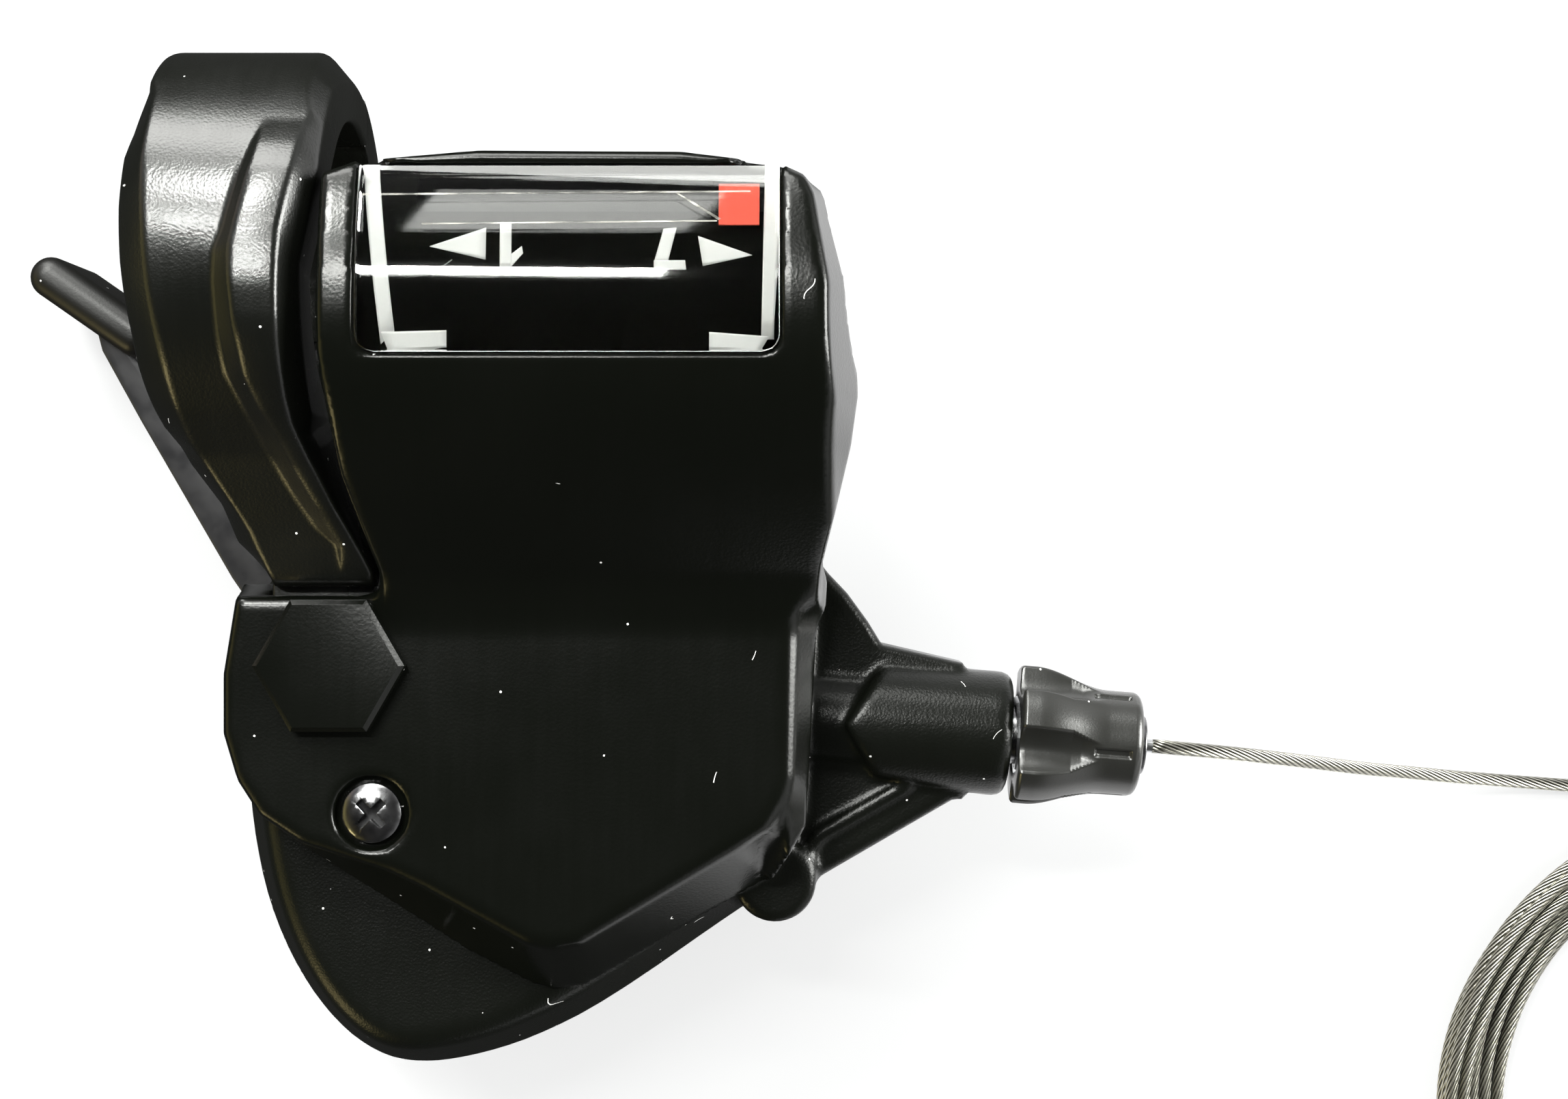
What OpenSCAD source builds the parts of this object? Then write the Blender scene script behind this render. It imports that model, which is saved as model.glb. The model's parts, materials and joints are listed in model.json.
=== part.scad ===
// Right-hand seven-speed trigger shifter for a flat handlebar.
// +X runs along the handlebar towards the cable, +Y towards the rider and +Z out of the cover.
// The origin is on the handlebar's axis, in the middle plane of the clamp's bore.

/* [Handlebar clamp] */
// Diameter of the handlebar in the clamp
bar_d = 22.2; // [22:0.1:22.6]
// Thickness of the clamp band
band_t = 5.1; // [4.7:0.1:5.7]
// Width of the band outboard of the middle plane
band_out = 7.5; // [7:0.1:8.2]
// Width of the band inboard of the middle plane
band_in = 6.8; // [6.2:0.1:6.9]
// Width of the chamfer on the outboard edge
chamfer_out = 2.3; // [1.5:0.1:3]
// Depth of the chamfer on the outboard edge
chamfer_drop = 3.9; // [2:0.1:4.1]
// Size of the chamfer on the inboard edge
chamfer_in = 1.8; // [1:0.1:2.2]
// Height of the faceted rib above the band
rib_h = 1.9; // [1:0.1:2.2]
// Gap between the clamp's two ears
ear_gap = 1.6; // [1.2:0.1:2.4]
// Diameter of the clamp bolt and of the bracket bolt
bolt_d = 5; // [4:0.5:5]

/* [Cover] */
// Thickness of the cover's walls
wall = 1.6; // [1.4:0.1:1.8]
// Height of the display's crest above the clearance round the handlebar
crest_h = 5.5; // [5.3:0.1:6.3]
// Radius of the arched top
arch_r = 27; // [25:0.5:30]
// Height of the flat lower face
face_z = 3.5; // [3.4:0.1:4]
// Gap between the handlebar and the cover
bar_gap = 0.8; // [0.5:0.1:1]
// Width of the window
window_w = 29.2; // [28:0.1:29.6]
// Thickness of the window
lens_t = 1; // [0.8:0.1:1.1]
// Width across the flats of the raised hexagonal cap
hex_af = 9.7; // [9:0.1:10.4]
// Height of the hexagonal cap above the face
hex_h = 1.6; // [1.4:0.1:2]

/* [Housing] */
// Height of the joint between the cover and the housing
rim_z = -4.5; // [-4.7:0.1:-4.3]
// Height of the housing's underside
base_z = -18; // [-18.3:0.1:-17.9]
// Thickness of the housing's walls
base_wall = 2; // [1.6:0.1:2.2]
// Thickness of the housing's floor
floor_t = 1.6; // [1.4:0.1:1.7]
// Radius of the cable boss
boss_r = 4.9; // [4.6:0.1:5.2]

/* [Mechanism] */
// Distance of the main axle inboard of the clamp's middle plane
axle_x = 18.2; // [17.8:0.1:18.6]
// Distance of the main axle ahead of the handlebar's axis
axle_back = 41.5; // [41.2:0.1:41.8]
// Diameter of the main axle
axle_d = 5; // [4.4:0.1:5.4]
// Radius at which the cable winds on the spool
wind_r = 9.1; // [8.8:0.1:9.4]
// Outer radius of the ratchet's teeth
ratchet_r = 12.2; // [12:0.1:12.4]
// Number of teeth round the ratchet
teeth = 18; // [18:1:20]
// Diameter of the inner cable
cable_d = 1.1; // [1:0.1:1.2]
// Angle of the cable to the handlebar
cable_tilt = 4.7; // [4.3:0.1:5.1]
// Height of the cable in the spool's groove
cable_z = -8.5; // [-8.7:0.1:-8.3]

/* [Levers] */
// Thickness of the lever plates
plate_t = 2; // [1.6:0.1:2]
// Radius of the thumb pad's rounded edge
pad_r = 1.7; // [1.4:0.1:2]
// Height of the thumb pad
pad_h = 12.6; // [12:0.1:13]
// Distance from the axle to the end of the release lever's pad
release_r = 34; // [32:0.5:36]
// Height of the surface that the shifter lies on
table_z = -28; // [-28.4:0.1:-27.8]

/* [Barrel adjuster] */
// Length of the knob
knob_l = 9.6; // [9:0.1:10.4]
// Radius of the fluted knob
knob_r = 4.5; // [4.3:0.1:4.7]
// Radius of the knob's skirt
skirt_r = 5.6; // [5.2:0.1:5.8]
// Length of the flutes on the knob
flute_l = 6; // [5:0.1:7]
// Number of flutes on the knob
flutes = 5; // [5:1:8]
// Radius of the threaded core
core_r = 2.3; // [2.2:0.05:2.5]

/* [Hidden] */
$fn = 64;
eps = 0.01;
// Clearance of a turning fit, on the radius
fit = 0.05;
// Gap between pieces that move past each other
gap = 0.3;

black = "#1b1b1c";
housing_black = "#222223";
steel = "#b9bbbd";

bar_r = bar_d / 2;
band_r = bar_r + band_t;
axle_y = -axle_back;
axle_r = axle_d / 2;
bolt_r = bolt_d / 2;
cable_r = cable_d / 2;
// Radius of the thumb lever's hub, which turns in the housing's floor
hub_r = axle_r + 2.1;

// The arched top is part of a cylinder whose crest lies a little ahead of the handlebar's axis.
crest_y = -5;
clear_r = bar_r + bar_gap;
crest_z = clear_r + crest_h;
arch_z = crest_z - arch_r;

// Heights of the stack on the main axle, from the floor up
floor_z = base_z + floor_t;
deck_z = floor_z + 1;
carrier_z = deck_z + gap;
carrier_t = 1.2;
ratchet_z = carrier_z + carrier_t + gap;
spool_z = cable_z - 3;
spool_top = cable_z + 3;
bridge_z = -1.4;
bridge_t = 1.2;
bridge_top = bridge_z + bridge_t;
thumb_z = base_z - gap - plate_t;
release_z = thumb_z - 2 * gap - plate_t;
washer_z = release_z - gap - 0.8;
nut_z = washer_z - 2.8;

module at_axle(z = 0) { translate([axle_x, axle_y, z]) children(); }
module polar(r, a, z = 0) { at_axle(z) rotate([0, 0, a]) translate([r, 0, 0]) children(); }
// Places children with +Z along the cable, from the point where it leaves the spool.
module on_cable(s = 0) {
    at_axle(cable_z) rotate([0, 0, -cable_tilt]) translate([s, wind_r, 0]) rotate([0, 90, 0]) children();
}
// Extrudes a side view, drawn in Y and Z, along the handlebar from x.
module across(x, length) { translate([x, 0, 0]) rotate([90, 0, 90]) linear_extrude(length) children(); }
module tube(r_out, r_in, h) {
    difference() {
        cylinder(r = r_out, h = h);
        translate([0, 0, -eps]) cylinder(r = r_in, h = h + 2 * eps);
    }
}
module slab(points, z, t = eps, grow = 0) {
    translate([0, 0, z]) linear_extrude(t) offset(delta = grow) polygon(points);
}

// A closed solid through sections that all have the same number of points
module loft(sections) {
    n = len(sections[0]);
    m = len(sections);
    walls = [for (i = [0:m - 2], k = [0:n - 1])
        [i * n + k, i * n + (k + 1) % n, (i + 1) * n + (k + 1) % n, (i + 1) * n + k]];
    polyhedron([for (s = sections) each s], concat(walls, [[for (k = [n - 1:-1:0]) k]],
        [[for (k = [0:n - 1]) (m - 1) * n + k]]), convexity = 8);
}
// Sweep of a round wire along a list of points
function unit(v) = v / norm(v);
function heading(p, i) = unit(p[min(i + 1, len(p) - 1)] - p[max(i - 1, 0)]);
function across_of(d) = unit(cross(d, abs(d[2]) < 0.9 ? [0, 0, 1] : [0, 1, 0]));
module wire(p, r, sides = 8) {
    loft([for (i = [0:len(p) - 1]) let (d = heading(p, i), u = across_of(d), v = cross(d, u))
        [for (k = [0:sides - 1]) p[i] + r * (cos(360 * k / sides) * u + sin(360 * k / sides) * v)]]);
}
// A coil spring about +Z that stands on z = 0
module coil_spring(r, wire_d, turns, pitch) {
    translate([0, 0, wire_d / 2])
        wire([for (i = [0:12 * turns]) [r * cos(30 * i), r * sin(30 * i), pitch * i / 12]], wire_d / 2, 6);
}

// Clamp
ear_x = 4.2;
ear_t = 6.2;
bolt_z = -band_r - 4.5;
ear_low = bolt_z - 3.3;
ear_top = -bar_r - 0.9;
strap_y = -4.4;
joint_z = -4.5;
bracket_x = 5.7;
bracket_y = -29.5;
bracket_r = 5.2;
// Depth to which the bracket bolt reaches into the housing
bolt_in = 9;
bracket_top = face_z - wall - gap;
ring_ear_y = strap_y - ear_gap;
// Top of the arm that carries the shifter, as pairs of y and height
arm_top = [[-26, 3.2], [-23.2, 4.0], [-19, 5.8], [-14.5, 8.3], [-11, 11.9], [-9, 13.47]];
// Stations along the arm: y, left foot, left edge, right edge, right foot, underside
arm_stations = [
    [-9, -7.1, -4.6, 5.0, band_in, -6],
    [-11, -6.5, -3.9, 5.0, band_in, -6.5],
    [-14.5, -4.9, -2.9, 5.3, band_in, -6.5],
    [-17, -3.5, -1.6, 6.2, 7.4, -5.5],
    [-19, -2.0, -0.4, 7.2, 8.3, rim_z],
    [-23.2, 0.9, 1.8, 8.8, 9.4, rim_z]];
// Stations along the rib: y, left root, left edge, right edge, right root, share of the rib's height
rib_stations = [
    [11.8, 3.3, 3.6, 4.6, 5.0, 0.02],
    [8.8, 1.7, 2.8, 4.9, 5.6, 0.45],
    [1.9, -0.6, 2.1, 4.6, 6.0, 1],
    [-4.3, 0.3, 2.4, 4.9, 6.2, 1],
    [-10.5, 1.7, 3.6, 5.6, 6.4, 1],
    [-15.8, 3.2, 4.6, 6.2, 6.9, 0.8],
    [-22, 6.2, 6.9, 8.0, 8.8, 0.5]];
function band_top(y) = y > -11 ? sqrt(band_r ^ 2 - y ^ 2) : lookup(y, arm_top);
module band() {
    rotate([0, 90, 0]) rotate_extrude($fn = 96) polygon([[bar_r, -band_out], [band_r - chamfer_drop, -band_out],
        [band_r, -band_out + chamfer_out], [band_r, band_in - chamfer_in], [band_r - chamfer_in, band_in],
        [bar_r, band_in]]);
}
module arm() {
    loft([for (s = arm_stations) let (top = lookup(s[0], arm_top))
        [[s[1], s[0], s[5]], [s[1], s[0], top - chamfer_drop * 0.6], [s[2], s[0], top],
        [s[3], s[0], top], [s[4], s[0], top - chamfer_in], [s[4], s[0], s[5]]]]);
}
module rib() {
    loft([for (s = rib_stations) let (root = band_top(s[0]) - 0.7, top = band_top(s[0]) + rib_h * s[5])
        [[s[1], s[0], root], [s[2], s[0], top], [s[3], s[0], top], [s[4], s[0], root]]]);
}
module bracket() {
    translate([0, 0, rim_z]) linear_extrude(bracket_top - rim_z) {
        translate([bracket_x, bracket_y]) circle(bracket_r);
        translate([0.9, bracket_y]) square([8.4, -22.5 - bracket_y]);
    }
}
module clamp_hole() { translate([0, 30, bolt_z]) rotate([90, 0, 0]) cylinder(r = bolt_r + 0.2, h = 60); }
module clamp_ring() color(black) difference() {
    union() {
        difference() {
            band();
            translate([-20, ring_ear_y, -30]) cube([40, 60, 30 + joint_z]);
        }
        arm();
        rib();
        bracket();
        translate([-ear_x, ring_ear_y - ear_t, ear_low]) cube([2 * ear_x, ear_t, ear_top - ear_low]);
    }
    translate([-20, 0, 0]) rotate([0, 90, 0]) cylinder(r = bar_r, h = 40);
    clamp_hole();
    translate([0, ring_ear_y - ear_t - eps, bolt_z]) rotate([-90, 0, 0]) cylinder(r = 4.3, h = 3, $fn = 6);
    translate([bracket_x, bracket_y, -20]) cylinder(r = bolt_r + 0.2, h = 30);
}
module clamp_strap() color(black) difference() {
    union() {
        intersection() {
            band();
            translate([-20, strap_y, -30]) cube([40, 60, 30 + joint_z]);
        }
        translate([-ear_x, strap_y, ear_low]) cube([2 * ear_x, ear_t, ear_top - ear_low]);
    }
    translate([-20, 0, 0]) rotate([0, 90, 0]) cylinder(r = bar_r, h = 40);
    clamp_hole();
}
module clamp_bolt() color(steel) translate([0, strap_y + ear_t, bolt_z]) rotate([90, 0, 0]) {
    cylinder(r = bolt_r, h = 2 * ear_t + ear_gap - 0.5);
    translate([0, 0, -bolt_d * 0.9]) difference() {
        cylinder(r = bolt_r * 1.6, h = bolt_d * 0.9);
        translate([0, 0, -eps]) cylinder(r = bolt_r * 0.9, h = bolt_d * 0.5, $fn = 6);
    }
}
module clamp_nut() color(steel) translate([0, ring_ear_y - ear_t + 0.1, bolt_z]) rotate([-90, 0, 0])
    difference() {
        cylinder(r = 4.1, h = 2.7, $fn = 6);
        translate([0, 0, -eps]) cylinder(r = bolt_r + fit, h = 4);
    }
module bracket_bolt() color(steel) translate([bracket_x, bracket_y, 0]) {
    translate([0, 0, rim_z - bolt_in]) cylinder(r = bolt_r, h = bracket_top - rim_z + bolt_in);
    translate([0, 0, bracket_top]) difference() {
        cylinder(r = hex_af / 2 - 1.4, h = 2.6);
        translate([0, 0, 1.2]) cylinder(r = 1.7, h = 3, $fn = 6);
    }
}

// Cover
window_x = 9.8;
window_end = window_x + window_w;
window_back = -7.5;
window_front = 5.7;
cover_break = -12.2;
cover_foot = -23.5;
foot_z = 5;
screw_x = 8.6;
screw_y = -40.5;
// Outlines in plan: of the display at its top edge and at its widest, then of the lower face and its rim
display_top = [[7.2, 5.0], [9.5, 5.9], [18, 6.7], [window_end - 7, 6.6], [window_end - 0.2, 5.6],
    [window_end + 1.4, 4.8], [window_end + 3.3, -2.7], [window_end + 3.6, -10.6], [window_end + 3, -13.5],
    [window_end + 1.7, -21.7], [window_end + 0.8, -25], [10.1, -25], [8.0, -15.9], [7.2, -7.3]];
display_foot = [[7.2, 5.2], [9.5, 6.1], [18, 6.9], [window_end - 7, 6.8], [window_end + 0.4, 6.0],
    [window_end + 3.4, 4.6], [window_end + 5.2, -1.6], [window_end + 5.5, -9.9], [window_end + 5, -13.5],
    [window_end + 3, -22], [window_end + 2.7, -25], [10.1, -25], [8.0, -15.9], [7.2, -7.3]];
face_top = [[-1.4, -24.5], [-2.3, -30.2], [-2.3, -34.6], [-1.3, -38], [0.4, -40.6], [3.4, -42.6],
    [9.9, -44.6], [12.5, -45.8], [20.2, -50.0], [22.1, -50.3], [24, -50], [37.9, -41.6], [39.2, -39.3],
    [39.65, -37.9], [39.8, -24.5]];
face_rim = [[-2.6, -23.6], [-3.9, -30.4], [-3.9, -34.8], [-2.6, -38.8], [-1.2, -41.5], [2.2, -44.0],
    [14.6, -51.9], [19.6, -54.5], [21.3, -55.0], [23.6, -54.8], [38.3, -46.2], [40.8, -41.8], [41.0, -38.9],
    [41.7, -26], [41.7, -23.6]];
module display_side(inset) {
    difference() {
        intersection() {
            translate([crest_y, arch_z]) circle(arch_r - inset, $fn = 180);
            polygon([[20, rim_z], [20, 30], [cover_break - inset * 0.3, 30],
                [cover_break - inset * 0.3, crest_z - 1],
                [cover_foot + inset * 0.3, foot_z - inset], [-24.8, face_z - inset], [-24.8, rim_z],
                [-12.6 - inset, rim_z]]);
        }
        circle(clear_r + inset * 0.65, $fn = 96);
    }
}
module display(inset) {
    intersection() {
        across(0, 60) display_side(inset);
        hull() {
            slab(display_top, crest_z + 1, eps, -inset);
            slab(display_foot, rim_z - eps, 9 - rim_z, -inset);
        }
    }
}
module lower_face(inset) {
    hull() {
        slab(face_top, face_z - inset - eps, eps, -inset);
        slab(face_rim, rim_z - (inset > 0 ? 1 : 0), eps, -inset);
    }
}
module window_hole(grow) {
    translate([window_x - grow, 0, 0]) linear_extrude(30) offset(delta = grow) polygon([[0, window_back + 1.2],
        [1.2, window_back], [window_w - 1.2, window_back], [window_w, window_back + 1.2],
        [window_w, window_front], [0, window_front]]);
}
module arched(r_out, r_in, x, length, y0, y1) {
    across(x, length) intersection() {
        translate([crest_y, arch_z]) difference() {
            circle(arch_r - r_out, $fn = 180);
            circle(arch_r - r_in, $fn = 180);
        }
        translate([y0, 0]) square([y1 - y0, 30]);
    }
}
module top_cover() color(black) difference() {
    union() {
        display(0);
        lower_face(0);
    }
    display(wall);
    lower_face(wall);
    intersection() {
        window_hole(0);
        arched(-1, wall + 0.2, 0, 60, -20, 20);
    }
    // Seat of the dial under the window
    arched(wall - 0.1, dial_in + dial_t + 0.05, window_x - 0.55, window_w + 1.1, window_back - 0.55,
        dial_front + 0.05);
    // Way in for the clamp's arm
    translate([0.6, -27, rim_z - 1]) cube([9.1, 6, bracket_top + gap - rim_z + 1]);
    translate([bracket_x, bracket_y, 0]) cylinder(r = hex_af / 2 - 1.1, h = 10);
    translate([screw_x, screw_y, face_z - 1]) cylinder(r = 2.75, h = 4);
    translate([screw_x, screw_y, -5]) cylinder(r = 1.35, h = 20);
}
module window_lens() color("#c9d2d6", 0.35) intersection() {
    arched(0, lens_t, 0, 60, window_back + 0.08, window_front - 0.08);
    window_hole(-0.08);
}
slot_x = window_x + 4;
slot_end = window_x + window_w - 0.8;
dial_in = wall + 0.05;
dial_t = 0.5;
dial_front = 4.9;
module dial_plate() color("#0c0c0d") difference() {
    arched(dial_in, dial_in + dial_t, window_x - 0.5, window_w + 1, window_back - 0.5, dial_front);
    translate([slot_x, 2.3, 0]) cube([slot_end - slot_x, 2.4, 30]);
}
indicator_w = 2.8;
indicator_x = slot_end - indicator_w - 0.7;
module indicator() color("#e8452c") {
    arched(lens_t + 0.15, dial_in - 0.1, indicator_x, indicator_w, 1.3, 4.2);
    arched(dial_in - 0.1, dial_in + dial_t + 0.25, indicator_x + 0.3, indicator_w - 0.6, 2.7, 4.2);
    arched(dial_in + dial_t + 0.15, dial_in + dial_t + 0.6, indicator_x, indicator_w, 1.2, 4.2);
}
module hex_cap() color(black) translate([bracket_x, bracket_y, 0]) difference() {
    union() {
        translate([0, 0, face_z]) cylinder(d = hex_af / cos(30), h = hex_h - 0.4, $fn = 6);
        translate([0, 0, face_z + hex_h - 0.4 - eps])
            cylinder(d1 = hex_af / cos(30), d2 = hex_af / cos(30) - 0.8, h = 0.4, $fn = 6);
        translate([0, 0, face_z - wall]) cylinder(r = hex_af / 2 - 1.15, h = wall + eps);
    }
    translate([0, 0, bracket_top - 1]) cylinder(r = hex_af / 2 - 1.35, h = 3.7);
}
module cover_screw() color("#3a3a3c") translate([screw_x, screw_y, 0]) {
    translate([0, 0, bridge_z]) cylinder(r = 1.25, h = face_z - 1 - bridge_z);
    translate([0, 0, face_z - 1]) difference() {
        intersection() {
            cylinder(r = 2.2, h = 1.1);
            translate([0, 0, -4.4]) sphere(r = 5.5);
        }
        for (a = [45, 135]) rotate([0, 0, a]) translate([-1.3, -0.3, 0.45]) cube([2.6, 0.6, 2]);
    }
}

// Housing
post_a = [34.5, -40.5];
post_b = [3.2, -38.5];
post_r = 2.3;
outer_boss = [38.5, -46.8];
// One round of corner cutting, which turns a run of corners into a curve
function cut_corners(p) = [for (i = [0:len(p) - 1], t = [0.25, 0.75])
    p[i] + t * (p[(i + 1) % len(p)] - p[i])];
house_corners = [[-2.6, -23.4], [-3.9, -30.4], [-3.9, -37], [-3.5, -43], [-2.2, -49.4], [0.3, -55],
    [3.3, -59], [6.5, -61.4], [9.8, -62.2], [14, -61.7], [19, -60.2], [25, -57.2], [35.8, -49.6],
    [41, -46.4], [42.4, -43], [42.6, -24.5], [42.1, -22.2], [38, -17.4], [34, -16.4], [11, -16.4],
    [2, -19.8]];
house_side = cut_corners(cut_corners(house_corners));
wing_side = [[38, -48], [41.8, -46.8], [52.5, -40.6], [53.4, -40.6], [53.4, -29.9], [46.9, -28.4],
    [45.8, -26.6], [44.2, -24.4], [42.1, -22.2], [38, -20.5]];
wing_top = -6.8;
boss_end = 38.1;
// Length of the threaded core inside the boss
core_in = 8;
boss_v = [[43.9, -34.5], [47.1, -29.5], [60, -28], [60, -42], [46.2, -38.6]];
// Sector of a circle about the main axle, from one angle to the other
module sector(r, a0, a1) {
    polygon(concat([[0, 0]], [for (i = [0:4]) let (a = a0 + (a1 - a0) * i / 4) [r * cos(a), r * sin(a)]]));
}
module finger_slot() {
    difference() {
        sector(finger_r + 1.4, finger_angle - 11, finger_angle + 27);
        circle(finger_r - 1.4);
    }
}
roof_t = 1.5;
// Hollow of the housing: wide under the roof of the lobe, and open under the cover
module cavity() {
    slab(house_side, floor_z, rim_z - roof_t - floor_z, -base_wall - 1.2);
    slab(face_rim, rim_z - roof_t - 1, 20, -wall - 0.2);
    at_axle(rim_z - 4) cylinder(r = wind_r + 2.7, h = spool_top + gap - rim_z + 4);
}
// Low rib along the wing's lower edge
rib_path = [[41.2, -45.8], [41.2, -44.3], [42, -43.3], [48.7, -39.5]];
module edge_rib() {
    translate([0, 0, wing_top - 1]) linear_extrude(1.6) {
        for (i = [0:2]) link(rib_path[i], rib_path[i + 1], 0.9);
        for (p = rib_path) translate(p) circle(0.45);
    }
}
module base_housing() color(housing_black) difference() {
    union() {
        difference() {
            hull() {
                slab(house_side, rim_z - eps, eps, -2.6);
                slab(house_side, base_z + 3, rim_z - 7 - base_z);
                slab(house_side, base_z, eps, -2);
            }
            cavity();
        }
        // Seat of the cover's rim
        difference() {
            translate([0, 0, rim_z - 2.5]) linear_extrude(2.5) intersection() {
                polygon(house_side);
                offset(delta = -0.2) polygon(face_rim);
            }
            cavity();
        }
        edge_rib();
        difference() {
            slab(wing_side, base_z + 5, wing_top - base_z - 5);
            cavity();
        }
        intersection() {
            on_cable(22) cylinder(r = boss_r, h = boss_end - 22);
            translate([0, 0, -20]) linear_extrude(40) polygon(boss_v);
        }
        on_cable(22) cylinder(r = boss_r - 1.2, h = boss_end - 23);
        for (p = [post_a, post_b]) translate([p[0], p[1], base_z]) cylinder(r = post_r, h = bridge_z - base_z);
        translate([outer_boss[0], outer_boss[1], base_z]) cylinder(r = 3.2, h = rim_z - 1 - base_z);
        translate([bracket_x, bracket_y, base_z]) cylinder(r = pillar_r, h = rim_z - base_z);
    }
    on_cable(boss_end - core_in - 1) cylinder(r = core_r + fit, h = core_in + 4);
    on_cable(16) cylinder(r = cable_r + 0.4, h = 30);
    at_axle(base_z - 1) cylinder(r = hub_r + gap, h = 10);
    at_axle(base_z - 1) linear_extrude(floor_t + 2) finger_slot();
    translate([bracket_x, bracket_y, rim_z - bolt_in - 0.5]) cylinder(r = bolt_r + fit, h = bolt_in + 10.5);
    for (p = [post_a, post_b]) translate([p[0], p[1], base_z - 1]) {
        cylinder(r = 2.1, h = 2.6);
        cylinder(r = 1.05, h = 40);
    }
}
module housing_screw() difference() {
    union() {
        translate([0, 0, 0.1]) cylinder(r = 2, h = 1.5);
        translate([0, 0, 1.6]) cylinder(r = 1, h = bridge_top - base_z - 1.5);
    }
    for (a = [45, 135]) rotate([0, 0, a]) translate([-1.2, -0.25, -0.3]) cube([2.4, 0.5, 1.1]);
}
module housing_screws() color("#3a3a3c") {
    for (p = [post_a, post_b]) translate([p[0], p[1], base_z]) housing_screw();
}
hold_angle = 70;
hold_r = ratchet_r + 2.6;
pillar_r = 4.2;
plate_r = ratchet_r + 2;
module plate_outline() {
    translate([axle_x, axle_y]) circle(plate_r);
    translate([axle_x + hold_r * cos(hold_angle), axle_y + hold_r * sin(hold_angle)]) circle(2.6);
}
module mechanism_plate() color(steel) difference() {
    translate([0, 0, floor_z]) linear_extrude(1) difference() {
        intersection() {
            offset(delta = -base_wall - 1.2 - gap) polygon(house_side);
            plate_outline();
        }
        translate([axle_x, axle_y]) circle(hub_r + gap);
        translate([axle_x, axle_y]) finger_slot();
        translate([bracket_x, bracket_y]) circle(pillar_r + gap);
        for (p = [post_a, post_b]) translate(p) circle(post_r + gap);
    }
    polar(hold_r, hold_angle, base_z) cylinder(r = 1.2, h = 10);
}
module link(p, q, w) {
    d = q - p;
    translate(p) rotate(atan2(d[1], d[0])) translate([0, -w / 2]) square([norm(d), w]);
}
module bridge_plate() color(steel) translate([0, 0, bridge_z]) linear_extrude(bridge_t) difference() {
    union() {
        translate([axle_x, axle_y]) circle(6.2);
        translate([screw_x, screw_y]) circle(3);
        for (p = [post_a, post_b]) {
            translate(p) circle(post_r);
            link([axle_x, axle_y], p, 5);
        }
        link([axle_x, axle_y], [screw_x, screw_y], 5);
    }
    translate([axle_x, axle_y]) circle(axle_r + fit);
    translate([screw_x, screw_y]) circle(1.3);
    for (p = [post_a, post_b]) translate(p) circle(1.05);
}

// Pieces on the main axle
module main_axle() color(steel) at_axle() {
    translate([0, 0, nut_z + 0.2]) cylinder(r = axle_r, h = bridge_top - nut_z - 0.2);
    translate([0, 0, bridge_top]) difference() {
        cylinder(r = 4, h = 1.6);
        translate([-5, -0.5, 0.9]) cube([10, 1, 2]);
    }
}
module axle_washer() color(steel) at_axle(washer_z) tube(4, axle_r + fit, 0.8);
module axle_nut() color(steel) at_axle(nut_z) difference() {
    tube(3.9, axle_r + fit, 2.8);
    translate([-5, -0.6, -1]) cube([10, 1.2, 1.8]);
}
cap_r = 9;
cap_floor = 0.7;
module bottom_cap() color(black) at_axle(table_z) difference() {
    union() {
        cylinder(r1 = cap_r - 0.6, r2 = cap_r, h = 0.6);
        translate([0, 0, 0.6 - eps]) cylinder(r = cap_r, h = release_z - gap - table_z - 0.6);
    }
    translate([0, 0, cap_floor]) cylinder(r = cap_r - 1.4, h = 20);
}
head_r = 2;
module cable_spool() color("#2b2b2d") difference() {
    at_axle(spool_z) difference() {
        union() {
            cylinder(r = wind_r + 2.1, h = 1.5);
            cylinder(r = wind_r - cable_r - fit, h = spool_top - spool_z);
            translate([0, 0, 4.5]) cylinder(r = wind_r + 2.1, h = 1.5);
        }
        translate([0, 0, -1]) cylinder(r = axle_r + fit, h = 20);
    }
    on_cable(-4.4) cylinder(r = head_r + fit, h = 4.4);
    on_cable(-eps) cylinder(r = cable_r + 0.3, h = wind_r + 3);
}
tooth_depth = 1.7;
module ratchet_wheel() color(steel) at_axle(ratchet_z) difference() {
    linear_extrude(spool_z - ratchet_z) polygon([for (i = [0:teeth - 1], s = [0, 0.12, 0.9])
        let (a = 360 / teeth * (i + s), depth = s == 0 ? tooth_depth : s < 0.5 ? 0 : 1.4)
        (ratchet_r - depth) * [cos(a), sin(a)]]);
    translate([0, 0, -1]) cylinder(r = axle_r + fit, h = 10);
}
module cable_head() color(steel) on_cable(-4.35) cylinder(r = head_r, h = 4.05);
spring_out = 6.9;
function spiral(r0, r1, turns, n) = [for (i = [0:n]) let (a = 360 * turns * i / n, r = r0 + (r1 - r0) * i / n)
    [r * cos(a), r * sin(a)]];
module spool_spring() color(steel) at_axle(spool_top + gap) linear_extrude(bridge_z - spool_top - 2 * gap) {
    inner = spiral(axle_r + 0.3, spring_out - 0.5, 3, 48);
    outer = spiral(axle_r + 0.8, spring_out, 3, 48);
    polygon(concat(inner, [for (i = [48:-1:0]) outer[i]]));
}

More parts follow.
